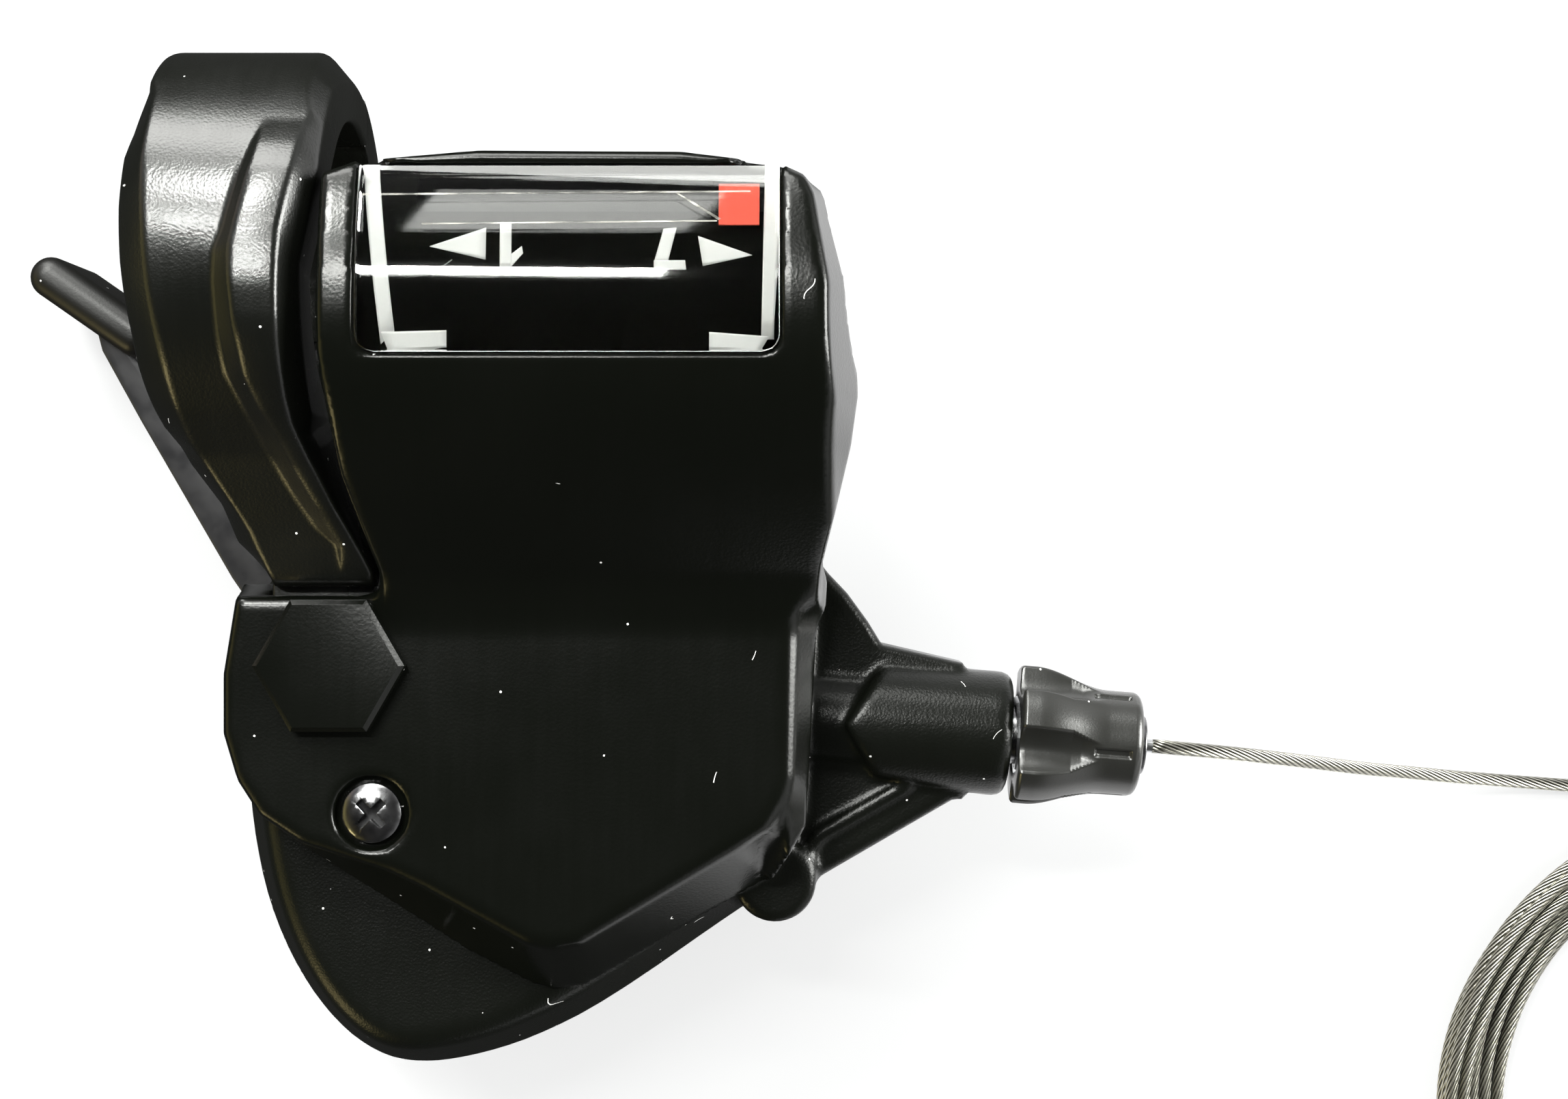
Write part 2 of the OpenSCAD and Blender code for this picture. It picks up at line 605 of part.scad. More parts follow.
// Levers
disc_r = 7.5;
thumb_arm = [[15, -48], [6, -40.5], [-0.5, -32.5], [-6.8, -23.3], [-14.4, -10.2], [-17.6, -4.4], [-18.6, -0.6],
    [-14.6, -1.6], [-11.2, -6.8], [-8.6, -12.6], [-1.0, -24.4], [7.5, -32.6], [16, -35]];
pad_tip = [-21.3, 1.5];
pad_root = [-14.4, -3.3];
module thumb_lever() color("#2a2a2c") difference() {
    union() {
        at_axle(thumb_z) cylinder(r = disc_r, h = plate_t);
        slab(thumb_arm, thumb_z, plate_t);
        at_axle(thumb_z) cylinder(r = hub_r, h = carrier_z + carrier_t - thumb_z);
    }
    at_axle(thumb_z - 1) cylinder(r = axle_r + fit, h = 20);
}
module thumb_pad() color(black) difference() {
    hull() for (p = [pad_tip, pad_root]) translate([p[0], p[1], table_z]) {
        translate([0, 0, 0.6]) cylinder(r = pad_r, h = pad_h - 1.6, $fn = 32);
        cylinder(r = pad_r - 0.5, h = pad_h, $fn = 32);
    }
    slab(thumb_arm, thumb_z, plate_t);
}
drive_angle = 205;
drive_r = ratchet_r + 1.8;
drive_pivot = [drive_r * cos(drive_angle), drive_r * sin(drive_angle)];
module drive_carrier() color(steel) at_axle(carrier_z) difference() {
    linear_extrude(carrier_t) union() {
        circle(disc_r + 1);
        link([0, 0], drive_pivot, 4);
        translate(drive_pivot) circle(2);
    }
    translate([0, 0, -1]) cylinder(r = hub_r, h = 10);
    rotate([0, 0, drive_angle]) translate([drive_r, 0, -1]) cylinder(r = 0.9, h = 10);
}
pawl_t = 1.8;
// Pawl whose pivot is at the origin, with its nose just outside the teeth along +Y
module pawl(reach, t) {
    linear_extrude(t) difference() {
        union() {
            circle(1.7);
            polygon([[-1.5, -1], [1.6, -0.8], [1.2, reach * 0.6], [-0.6, reach], [-1.4, reach - 0.3],
                [-1.6, 2]]);
        }
        circle(0.95);
    }
}
module drive_pawl() color(steel) polar(drive_r, drive_angle, ratchet_z) rotate([0, 0, 8]) pawl(4.6, pawl_t);
module drive_pawl_pin() color(steel) polar(drive_r, drive_angle, carrier_z) {
    cylinder(r = 0.9, h = ratchet_z + pawl_t - carrier_z + 0.3);
}
module hold_pawl() color(steel) polar(hold_r, hold_angle, ratchet_z) difference() {
    linear_extrude(pawl_t) union() {
        circle(2.1);
        polygon([[-1.2, 0], [1.8, -0.4], [1.4, 2.6], [-1.9, 5.9], [-3.2, 5.5], [-2.4, 2.6]]);
        polygon([[-1.2, 0.6], [0.9, -5.4], [2.3, -5.2], [1.9, 0]]);
    }
    translate([0, 0, -1]) cylinder(r = 1.2 + fit, h = 6);
}
module hold_pawl_pin() color(steel) polar(hold_r, hold_angle, floor_z) {
    cylinder(r = 1.2, h = ratchet_z + pawl_t + 4.2 - floor_z);
    translate([0, 0, ratchet_z + pawl_t + 3.4 - floor_z]) cylinder(r = 1.9, h = 0.8);
}
module hold_pawl_spring() color(steel) {
    polar(hold_r, hold_angle, ratchet_z + pawl_t + gap) coil_spring(1.6, 0.4, 4, 0.6);
}
release_angle = 130;
release_arm = [(release_r - 6) * cos(release_angle), (release_r - 6) * sin(release_angle)];
finger_angle = 24;
finger_r = ratchet_r + 2;
finger = [finger_r * cos(finger_angle), finger_r * sin(finger_angle)];
module release_lever() color("#2a2a2c") difference() {
    union() {
        at_axle(release_z) linear_extrude(plate_t) {
            circle(disc_r - 0.5);
            link([0, 0], release_arm, 5);
            link([0, 0], finger, 3.4);
            translate(finger) circle(1.7);
        }
        polar(finger_r, finger_angle, release_z) cylinder(r = 1, h = ratchet_z + 1.6 - release_z);
    }
    at_axle(release_z - 1) cylinder(r = axle_r + fit, h = 10);
}
module release_pad() color(black) difference() {
    hull() for (r = [release_r - 10, release_r]) polar(r, release_angle, table_z + 0.6) {
        translate([0, 0, 0.5]) cylinder(r = 1.5, h = thumb_z - gap - table_z - 1.6, $fn = 32);
        cylinder(r = 1, h = thumb_z - gap - table_z - 0.6, $fn = 32);
    }
    at_axle(release_z) linear_extrude(plate_t)
        link([0, 0], release_arm, 5);
}
module thumb_spring() color(steel) at_axle(table_z + cap_floor + 0.05) coil_spring(cap_r - 2.4, 0.8, 3, 1.0);
module release_spring() color(steel) at_axle(table_z + cap_floor + 0.05) coil_spring(cap_r - 4.1, 0.6, 4, 0.8);

// Barrel adjuster
knob_s = boss_end + 0.6;
skirt_l = 2.6;
spring_r = core_r + 1;
module lobed(r_root, r_tip, r_lobe, h) {
    linear_extrude(h) union() {
        circle(r_root);
        for (i = [0:flutes - 1]) {
            rotate(360 * (i + 0.5) / flutes - 14) translate([r_tip - r_lobe, 0]) circle(r_lobe);
        }
    }
}
module barrel_knob() color(black) on_cable(knob_s) difference() {
    union() {
        cylinder(r = knob_r - 0.1, h = knob_l);
        lobed(knob_r - 0.5, knob_r + 0.2, 2.6, flute_l);
        lobed(skirt_r - 1.4, (skirt_r + knob_r) / 2, 2.7, skirt_l + 1.2);
        lobed(skirt_r - 0.9, skirt_r, 2.8, skirt_l);
    }
    translate([0, 0, -1]) cylinder(r = core_r, h = knob_l + 2);
    translate([0, 0, -1]) cylinder(r = spring_r, h = 4.6);
}
module barrel_core() color("#2f2f31") on_cable(boss_end - core_in) {
    tube(core_r, cable_r + 0.65, knob_s + knob_l + 0.5 - boss_end + core_in);
}
module barrel_spring() color(steel) on_cable(boss_end + 0.05) coil_spring(core_r + 0.55, 0.5, 5, 0.72);

// Cable
cable_end = knob_s + knob_l + 1.2;
module inner_cable() color(steel) on_cable(-0.25) cylinder(r = cable_r, h = cable_end + 0.25);
cable_exit = [axle_x + cable_end * cos(cable_tilt) + wind_r * sin(cable_tilt),
    axle_y - cable_end * sin(cable_tilt) + wind_r * cos(cable_tilt), cable_z];
// The cable's route from the barrel to its coil on the table
route = [[70.5, -36.7, -8.6], [73, -36.95, -9.2], [76, -37.35, -10.6], [79, -37.8, -12.5], [82, -38.3, -14.7],
    [85, -38.8, -16.9], [88, -39.3, -19.1], [91, -39.7, -21.2], [94, -40.1, -23], [97, -40.5, -24.5],
    [100, -40.8, -25.7], [103, -41.1, -26.5], [106, -41.35, -27.05], [109, -41.6, -27.35], [112, -41.8, -27.45],
    [115, -41.95, -27.45], [118, -42.1, -27.45]];
coil_centre = [124, -69.5];
coil_r_in = 22.2;
coil_r_out = 28;
coil_h = 3.4;
module cable_run() color(steel) wire(concat([cable_exit], route), cable_r, 8);
module cable_coil() color(steel) translate([coil_centre[0], coil_centre[1], table_z])
    rotate_extrude($fn = 96) translate([coil_r_in, 0]) square([coil_r_out - coil_r_in, coil_h]);

clamp_ring();
clamp_strap();
clamp_bolt();
clamp_nut();
bracket_bolt();
top_cover();
window_lens();
dial_plate();
indicator();
hex_cap();
cover_screw();
base_housing();
housing_screws();
mechanism_plate();
bridge_plate();
main_axle();
axle_washer();
axle_nut();
bottom_cap();
cable_spool();
ratchet_wheel();
cable_head();
spool_spring();
thumb_lever();
thumb_pad();
drive_carrier();
drive_pawl();
drive_pawl_pin();
hold_pawl();
hold_pawl_pin();
hold_pawl_spring();
release_lever();
release_pad();
thumb_spring();
release_spring();
barrel_knob();
barrel_core();
barrel_spring();
inner_cable();
cable_run();
cable_coil();
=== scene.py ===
"""Looks of a right-hand trigger shifter that lies on a white table.

Shapes are in millimetres on the part's own axes, and become metres where a mesh is made. Materials, table
and world are in metres. +X runs along the handlebar towards the cable, +Y towards the rider and +Z out of
the cover.
"""
import json
import math

import bmesh
import bpy
import mathutils
import numpy as np
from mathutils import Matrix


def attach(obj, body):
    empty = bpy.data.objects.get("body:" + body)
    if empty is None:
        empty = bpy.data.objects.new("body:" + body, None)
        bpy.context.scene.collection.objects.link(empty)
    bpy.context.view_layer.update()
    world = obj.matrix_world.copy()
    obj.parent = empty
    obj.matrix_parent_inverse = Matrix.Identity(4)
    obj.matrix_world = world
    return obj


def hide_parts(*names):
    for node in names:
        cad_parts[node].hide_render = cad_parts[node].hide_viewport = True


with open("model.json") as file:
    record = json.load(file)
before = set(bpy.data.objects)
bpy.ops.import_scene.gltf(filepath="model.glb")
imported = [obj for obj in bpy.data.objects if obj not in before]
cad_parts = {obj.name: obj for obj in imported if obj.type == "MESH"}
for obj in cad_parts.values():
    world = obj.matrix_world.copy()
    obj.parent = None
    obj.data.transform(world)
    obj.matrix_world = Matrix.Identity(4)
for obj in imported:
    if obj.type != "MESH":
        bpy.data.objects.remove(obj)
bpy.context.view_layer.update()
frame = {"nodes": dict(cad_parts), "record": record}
MM = 0.001
scene = bpy.context.scene

# Camera: straight down, as the photograph was taken
CAMERA_AT = (39.2, -20.95, 178.0)
camera_data = bpy.data.cameras.new("photo_camera")
camera_data.sensor_width = 36
camera_data.lens = 54.14
camera_data.clip_start = 0.01
camera = bpy.data.objects.new("photo_camera", camera_data)
camera.location = [MM * v for v in CAMERA_AT]
scene.collection.objects.link(camera)
scene.camera = camera

# Sizes that the part's source also gives
TABLE_Z = -28.0
AXLE = np.array([18.2, -41.5])
CABLE_TILT = math.radians(4.7)
WIND_R = 9.1
CABLE_Z = -8.5
CABLE_R = 0.55
BOSS_END = 38.1
KNOB_AT = BOSS_END + 0.6
KNOB_LENGTH = 9.6
CREST_Y = -5.0
ARCH_R = 27.0
ARCH_Z = 17.4 - ARCH_R
DIAL_R = ARCH_R - 1.65
BAR_R = 11.1
BAND_R = 16.2
JOINT_Z = -4.5


# Lines and grids
def unit(v):
    return v / np.linalg.norm(v, axis=-1, keepdims=True)


def circle(angle):
    """Points of the unit circle in a plane, at angles in radians."""
    return np.stack([np.cos(angle), np.sin(angle)], axis=-1)


def along_line(points, count):
    """Points an equal length apart along a polyline in any number of dimensions."""
    points = np.asarray(points, dtype=float)
    length = np.concatenate([[0], np.cumsum(np.linalg.norm(np.diff(points, axis=0), axis=1))])
    places = np.linspace(0, length[-1], count)
    return np.stack([np.interp(places, length, column) for column in points.T], axis=-1)


def eased_line(points, half):
    """Moving mean over a polyline's points, half of them to each side, which keeps its ends."""
    weight = np.hanning(2 * half + 3)[1:-1]
    padded = np.concatenate([2 * points[0] - points[half:0:-1], points,
                             2 * points[-1] - points[-2:-half - 2:-1]])
    weight /= weight.sum()
    return np.stack([np.convolve(column, weight, mode="valid") for column in padded.T], axis=-1)


def grid_quads(rows, columns, wrap=False):
    """Corner numbers of the quads of a grid; with wrap, the last column joins the first."""
    across = columns if wrap else columns - 1
    r, c = np.meshgrid(np.arange(rows - 1), np.arange(across), indexing="ij")
    step = (c + 1) % columns
    return np.stack([r * columns + c, r * columns + step, (r + 1) * columns + step, (r + 1) * columns + c],
                    axis=-1).reshape(-1, 4)


def new_piece(name, points, faces, body, slot, material=None, uv=None):
    """A mesh object from points in millimetres, on a body, with its record slot's finish or another."""
    mesh = bpy.data.meshes.new(name)
    mesh.from_pydata((np.asarray(points) * MM).tolist(), [], faces)
    mesh.shade_smooth()
    if uv is not None:
        layer = mesh.uv_layers.new(name="along")
        corner = np.empty(len(mesh.loops), dtype=np.int64)
        mesh.loops.foreach_get("vertex_index", corner)
        layer.data.foreach_set("uv", np.asarray(uv, dtype=np.float32)[corner].ravel())
    mesh.materials.append(material or FINISH[slot])
    piece = bpy.data.objects.new(name, mesh)
    scene.collection.objects.link(piece)
    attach(piece, body)
    return piece


def surface(name, grid, body, slot, ring=False, material=None, uv=None):
    """Closed skin over loops of points (rows, columns, 3), with flat ends or, as a ring, without any."""
    rows, columns = grid.shape[:2]
    faces = grid_quads(rows, columns, wrap=True).tolist()
    if ring:
        join = grid_quads(2, columns, wrap=True)
        faces += np.where(join < columns, join + (rows - 1) * columns, join - columns).tolist()
    else:
        faces.append(list(range(columns))[::-1])
        faces.append([(rows - 1) * columns + k for k in range(columns)])
    return new_piece(name, grid.reshape(-1, 3), faces, body, slot, material, uv)


def outward(grid):
    """Turns a closed grid of loops round if its signed volume is below nothing."""
    a, b = grid[:-1], grid[1:]
    c = np.roll(b, -1, axis=1)
    volume = np.einsum("ijk,ijk->", a, np.cross(c, b) + np.cross(np.roll(a, -1, axis=1), c))
    return grid[::-1] if volume < 0 else grid


def tube_grid(path, radius, around):
    """Circles of a radius r carried along a path that never runs straight up: path + r (cos a beside -
    sin a above), where beside is heading x Z and above is beside x heading."""
    heading = unit(np.gradient(path, axis=0))[:, None]
    beside = unit(np.cross(heading, [0.0, 0.0, 1.0]))
    above = np.cross(beside, heading)
    a = np.linspace(0, 2 * math.pi, around, endpoint=False)[None, :, None]
    return path[:, None] + radius * (np.cos(a) * beside - np.sin(a) * above)


def arch_z(y, radius):
    """Height of the arched display at y: the circle of that radius about the arch's own axis."""
    return ARCH_Z + np.sqrt(np.maximum(radius ** 2 - (y - CREST_Y) ** 2, 0))


def on_cable(points):
    """Takes points with z along the cable to the part's axes, from where the cable leaves the spool."""
    c, s = math.cos(CABLE_TILT), math.sin(CABLE_TILT)
    p = np.asarray(points, dtype=float)
    along, beside = p[..., 2], WIND_R + p[..., 1]
    return np.stack([AXLE[0] + c * along + s * beside, AXLE[1] - s * along + c * beside,
                     CABLE_Z - p[..., 0]], axis=-1)


# Shader nodes
def node(tree, kind, link=None, **values):
    """A node with properties and socket values; link maps a socket to the output that feeds it."""
    made = tree.nodes.new(kind)
    for key, value in values.items():
        if hasattr(made, key):
            setattr(made, key, value)
        else:
            made.inputs[key.replace("_", " ")].default_value = value
    for socket, source in (link or {}).items():
        tree.links.new(source, made.inputs[socket])
    return made


def maths(tree, operation, *terms):
    """One Math node over sockets or numbers."""
    made = node(tree, "ShaderNodeMath", operation=operation)
    for k, term in enumerate(terms):
        if isinstance(term, (int, float)):
            made.inputs[k].default_value = term
        else:
            tree.links.new(term, made.inputs[k])
    return made.outputs[0]


def noise(tree, place, **values):
    return node(tree, "ShaderNodeTexNoise", {"Vector": place}, **values).outputs[0]


def ranged(tree, value, low, high, start, end, kind="LINEAR"):
    """Takes a socket's value from the range low to high over to the range start to end."""
    return node(tree, "ShaderNodeMapRange", {"Value": value}, interpolation_type=kind,
                From_Min=low, From_Max=high, To_Min=start, To_Max=end).outputs[0]


def eased(tree, value, low, high, start, end):
    """Smooth step of a socket's value, from start at low to end at high."""
    return ranged(tree, value, low, high, start, end, "SMOOTHSTEP")


def two_tone(tree, shader, share, low, high):
    """A shader's base colour, mixed from two colours by a share."""
    mix = node(tree, "ShaderNodeMix", {"Factor": share}, data_type="RGBA")
    mix.inputs[6].default_value = (*low, 1)
    mix.inputs[7].default_value = (*high, 1)
    tree.links.new(mix.outputs[2], shader.inputs["Base Color"])


def bumped(tree, shader, height, strength, distance):
    """A bump of a height into a shader's normal, its distance in metres."""
    bump = node(tree, "ShaderNodeBump", {"Height": height}, Strength=strength, Distance=distance)
    tree.links.new(bump.outputs[0], shader.inputs["Normal"])


# Shader groups
def new_group(name, output, **numbers):
    """A shader node group over a Position and named numbers: its tree, its inputs and its one output."""
    tree = bpy.data.node_groups.new(name, "ShaderNodeTree")
    tree.interface.new_socket("Position", in_out="INPUT", socket_type="NodeSocketVector")
    for title, value in numbers.items():
        tree.interface.new_socket(title, in_out="INPUT", socket_type="NodeSocketFloat").default_value = value
    tree.interface.new_socket(output, in_out="OUTPUT", socket_type="NodeSocketFloat")
    return tree, tree.nodes.new("NodeGroupInput").outputs, tree.nodes.new("NodeGroupOutput").inputs[output]


def grouped(tree, group, place, **numbers):
    """The one output of a group over a position."""
    return node(tree, "ShaderNodeGroup", {"Position": place}, node_tree=group, **numbers).outputs[0]


def moulded_grain():
    """Spark-eroded grain: rounded cells of the given size in metres, broken up by finer noise."""
    tree, given, height = new_group("moulded_grain", "Height", Cell=0.0003)
    scale = maths(tree, "DIVIDE", 1.0, given["Cell"])
    cells = node(tree, "ShaderNodeTexVoronoi", {"Vector": given["Position"], "Scale": scale},
                 feature="SMOOTH_F1", Smoothness=0.6)
    fine = node(tree, "ShaderNodeTexNoise",
                {"Vector": given["Position"], "Scale": maths(tree, "MULTIPLY", scale, 1.7)}, Detail=2.0)
    both = maths(tree, "ADD", maths(tree, "MULTIPLY", cells.outputs["Distance"], 0.7),
                 maths(tree, "MULTIPLY", fine.outputs[0], 0.5))
    tree.links.new(both, height)
    return tree


SPECK_SHARE, SPECK_R = 0.022, 0.16
LINT_LEVEL, LINT_SHARE, LINT_HALF = 0.84, 0.1, 0.0035


def dust_and_lint():
    """White specks where a cell's random value is high, and thin lint where a noise crosses its middle."""
    tree, given, mask = new_group("dust_and_lint", "Mask", Amount=0.4)
    place, amount = given["Position"], given["Amount"]
    cells = node(tree, "ShaderNodeTexVoronoi", {"Vector": place}, Scale=1700.0)
    chosen = node(tree, "ShaderNodeSeparateColor", {"Color": cells.outputs["Color"]})
    limit = maths(tree, "SUBTRACT", 1.0, maths(tree, "MULTIPLY", amount, SPECK_SHARE))
    speck = maths(tree, "MULTIPLY", maths(tree, "GREATER_THAN", chosen.outputs[0], limit),
                  maths(tree, "LESS_THAN", cells.outputs["Distance"], SPECK_R))
    bend = maths(tree, "SUBTRACT", noise(tree, place, Scale=210.0, Detail=1.0), 0.5)
    line = maths(tree, "LESS_THAN", maths(tree, "ABSOLUTE", bend), LINT_HALF)
    rare = maths(tree, "GREATER_THAN", noise(tree, place, Scale=330.0, Detail=0.0),
                 maths(tree, "SUBTRACT", LINT_LEVEL, maths(tree, "MULTIPLY", amount, LINT_SHARE)))
    tree.links.new(maths(tree, "MAXIMUM", speck, maths(tree, "MULTIPLY", line, rare)), mask)
    return tree


def rubbed_sheen():
    """Broad soft patches, and a fifth of fine streaks along Y, for how evenly a moulded face shines."""
    tree, given, value = new_group("rubbed_sheen", "Value")
    thin = node(tree, "ShaderNodeMapping", {"Vector": given["Position"]}, Scale=(1.0, 0.09, 0.09))
    broad = maths(tree, "MULTIPLY", noise(tree, given["Position"], Scale=90.0, Detail=3.0), 0.8)
    lines = maths(tree, "MULTIPLY", noise(tree, thin.outputs[0], Scale=1500.0, Detail=3.0), 0.2)
    tree.links.new(maths(tree, "ADD", broad, lines), value)
    return tree


GRAIN, DUST, SHEEN = moulded_grain(), dust_and_lint(), rubbed_sheen()
DUST_COLOR = (0.45, 0.45, 0.44)
NOISE_SPAN = (0.3, 0.7)


# Materials
def new_material(name):
    material = bpy.data.materials.new(name)
    material.use_nodes = True
    tree = material.node_tree
    return material, tree, tree.nodes["Principled BSDF"]


def object_place(tree):
    return node(tree, "ShaderNodeTexCoord").outputs["Object"]


def plastic(name, color, rough, cell=0.0003, depth=0.25, dust=0.4, specular=0.4, spread=0.12):
    """Moulded plastic: an even colour with dust on it, grain in its bump and a sheen that drifts."""
    material, tree, shader = new_material(name)
    place = object_place(tree)
    two_tone(tree, shader, grouped(tree, DUST, place, Amount=dust), color, DUST_COLOR)
    drift = ranged(tree, grouped(tree, SHEEN, place), *NOISE_SPAN, rough - spread, rough + spread)
    tree.links.new(drift, shader.inputs["Roughness"])
    bumped(tree, shader, grouped(tree, GRAIN, place, Cell=cell), depth, cell * 0.25)
    shader.inputs["Specular IOR Level"].default_value = specular
    return material


def metal(name, color, rough, metallic=1.0):
    """Plated or drawn metal: a noise drifts its roughness and puts faint pits in it."""
    material, tree, shader = new_material(name)
    place = object_place(tree)
    drift = noise(tree, place, Scale=500.0, Detail=3.0)
    drift = ranged(tree, drift, *NOISE_SPAN, rough * 0.7, rough * 1.4)
    tree.links.new(drift, shader.inputs["Roughness"])
    bumped(tree, shader, noise(tree, place, Scale=2500.0, Detail=2.0), 0.05, 0.0001)
    shader.inputs["Base Color"].default_value = (*color, 1)
    shader.inputs["Metallic"].default_value = metallic
    return material


STRAND_LAY, STRANDS = 0.0105, 12
# Groove colour is painted shade, darkening the steel between the strands; the ridge colour is the steel's own
STRAND_GROOVE_SHADE, STRAND_RIDGE = (0.045, 0.042, 0.03), (0.5, 0.49, 0.43)


def strand_steel():
    """Stranded cable: slanted stripes over the tube's own length and turn, as bump and as painted shade in
    the grooves.
    """
    material, tree, shader = new_material("stranded_steel")
    uv = node(tree, "ShaderNodeUVMap", uv_map="along")
    split = node(tree, "ShaderNodeSeparateXYZ", {"Vector": uv.outputs[0]})
    turn = maths(tree, "ADD", maths(tree, "MULTIPLY", split.outputs["X"], 1 / STRAND_LAY), split.outputs["Y"])
    wave = maths(tree, "ABSOLUTE", maths(tree, "SINE", maths(tree, "MULTIPLY", turn, math.pi * STRANDS)))
    bumped(tree, shader, wave, 0.9, 0.00012)
    # painted shade: the base colour darkens where the wave dips into a groove between strands
    two_tone(tree, shader, maths(tree, "POWER", wave, 1.7), STRAND_GROOVE_SHADE, STRAND_RIDGE)
    shader.inputs["Metallic"].default_value = 1.0
    shader.inputs["Roughness"].default_value = 0.3
    return material


# The film's dark streaks, and its pale ones, which are painted glare
FILM_DARK, FILM_GLARE = (0.06, 0.06, 0.05), (0.5, 0.49, 0.44)


def film():
    """Edges of a clear film, their pale streaks a painted glare: streaks along X set both how pale and how
    solid they are.
    """
    material, tree, shader = new_material("film_edge_glare")
    drawn = node(tree, "ShaderNodeMapping", {"Vector": object_place(tree)}, Scale=(0.16, 1.0, 1.0))
    streak = noise(tree, drawn.outputs[0], Scale=1300.0, Detail=5.0, Distortion=1.2)
    # painted glare: the pale share of the streaks lightens the film's colour and makes it more solid
    pale = ranged(tree, streak, 0.35, 0.7, 0.0, 1.0)
    two_tone(tree, shader, pale, FILM_DARK, FILM_GLARE)
    tree.links.new(maths(tree, "ADD", maths(tree, "MULTIPLY", pale, 0.5), 0.15), shader.inputs["Alpha"])
    bumped(tree, shader, streak, 0.5, 0.0002)
    shader.inputs["Roughness"].default_value = 0.22
    return material


def clear_plastic():
    """Clear window: a bare dielectric with faint ripples left by a film."""
    material, tree, shader = new_material("clear_window")
    bumped(tree, shader, noise(tree, object_place(tree), Scale=160.0, Detail=2.0), 0.03, 0.0003)
    shader.inputs["Base Color"].default_value = (0.96, 0.97, 0.96, 1)
    shader.inputs["Transmission Weight"].default_value = 1.0
    shader.inputs["Roughness"].default_value = 0.03
    shader.inputs["IOR"].default_value = 1.49
    return material


PLASTICS = {
    "ring_plastic": dict(color=(0.0022, 0.0025, 0.0018), rough=0.28, cell=0.00021, depth=0.24, dust=0.7,
                         specular=0.5, spread=0.06),
    "cover_plastic": dict(color=(0.0015, 0.0018, 0.0012), rough=0.22, cell=0.00024, depth=0.13,
                          specular=0.28, spread=0.04),
    "housing_plastic": dict(color=(0.002, 0.0024, 0.0016), rough=0.3, cell=0.0002, depth=0.4, dust=0.7,
                            specular=0.24, spread=0.05),
    "knob_plastic": dict(color=(0.008, 0.0082, 0.007), rough=0.3, cell=0.00018, depth=0.12,
                         specular=0.8, spread=0.05),
    "lever_plastic": dict(color=(0.003, 0.003, 0.0025), rough=0.38, cell=0.0002, depth=0.12,
                          specular=0.35, spread=0.06),
    "spool_plastic": dict(color=(0.035, 0.035, 0.035), rough=0.45),
    "dial_black": dict(color=(0.003, 0.003, 0.0025), rough=0.3, depth=0.02, dust=0.1, specular=0.0),
    "printed_white": dict(color=(0.93, 0.93, 0.92), rough=0.5, cell=0.00012, depth=0.1, dust=0.0),
    "indicator_orange": dict(color=(0.72, 0.1, 0.065), rough=0.4, depth=0.08, dust=0.1, specular=0.1),
}
METALS = {
    "lever_steel": dict(color=(0.03, 0.03, 0.032), rough=0.42, metallic=0.6),
    "black_chrome": dict(color=(0.2, 0.2, 0.205), rough=0.22),
    "zinc_steel": dict(color=(0.55, 0.56, 0.57), rough=0.28),
}
FINISH = {name: plastic(name, **look) for name, look in PLASTICS.items()}
FINISH.update({name: metal(name, **look) for name, look in METALS.items()})
FINISH["clear_window"] = clear_plastic()
FINISH["cable_steel"] = FINISH["zinc_steel"]

# Cable: the free run that the camera sees, then the coil on the table
ROUTE = [[70.5, -36.7, -8.6], [73, -36.95, -9.2], [76, -37.35, -10.6], [79, -37.8, -12.5], [82, -38.3, -14.7],
         [85, -38.8, -16.9], [88, -39.3, -19.1], [91, -39.7, -21.2], [94, -40.1, -23], [97, -40.5, -24.5],
         [100, -40.8, -25.7], [103, -41.1, -26.5], [106, -41.35, -27.05], [109, -41.6, -27.35],
         [112, -41.8, -27.45], [115, -41.95, -27.45], [118, -42.1, -27.45]]
CABLE_EXIT = on_cable([0, 0, KNOB_AT + KNOB_LENGTH + 1.2])
CABLE_STEP, CABLE_REACH, FINE_STEP = 1.0, 3.0, 0.25
AROUND = 12
COIL_CENTRE = (124.0, -69.5)
COIL_OUT, COIL_STEP, COIL_ROW, COIL_TURNS = 27.4, 1.12, 5, 12.3
COIL_START, COIL_CHANGE = 0.03, 0.28
COIL_OVAL, COIL_WAVER = 0.18, 0.07


def coil_path():
    """Turns beside and on each other: r and z move on by one step in the last part of each turn."""
    turn = np.arange(COIL_START, COIL_TURNS, 1 / 64)
    whole = np.floor(turn)
    share = np.clip((turn - whole - (1 - COIL_CHANGE)) / COIL_CHANGE, 0, 1)
    share = share ** 2 * (3 - 2 * share)

    def place(n):
        layer, column = n // COIL_ROW, n % COIL_ROW
        column = np.where(layer % 2 == 0, column, COIL_ROW - 1 - column)
        return COIL_OUT - COIL_STEP * column, TABLE_Z + CABLE_R + COIL_STEP * layer

    r0, z0 = place(whole)
    r1, z1 = place(whole + 1)
    r = r0 + (r1 - r0) * share
    z = z0 + (z1 - z0) * share
    a = math.pi / 2 - 2 * math.pi * turn
    r = r + COIL_OVAL * np.sin(2 * a + 0.6) + COIL_WAVER * np.sin(7 * a + whole)
    return np.stack([COIL_CENTRE[0] + r * np.cos(a), COIL_CENTRE[1] + r * np.sin(a), z], axis=-1)


def smoothed(path, step, reach):
    """A moving mean over a reach to each side of a path, resampled to a step."""
    def points_at(points, gap):
        length = np.linalg.norm(np.diff(points, axis=0), axis=1).sum()
        return along_line(points, int(round(length / gap)) + 1)
    return points_at(eased_line(points_at(path, FINE_STEP), int(reach / FINE_STEP)), step)


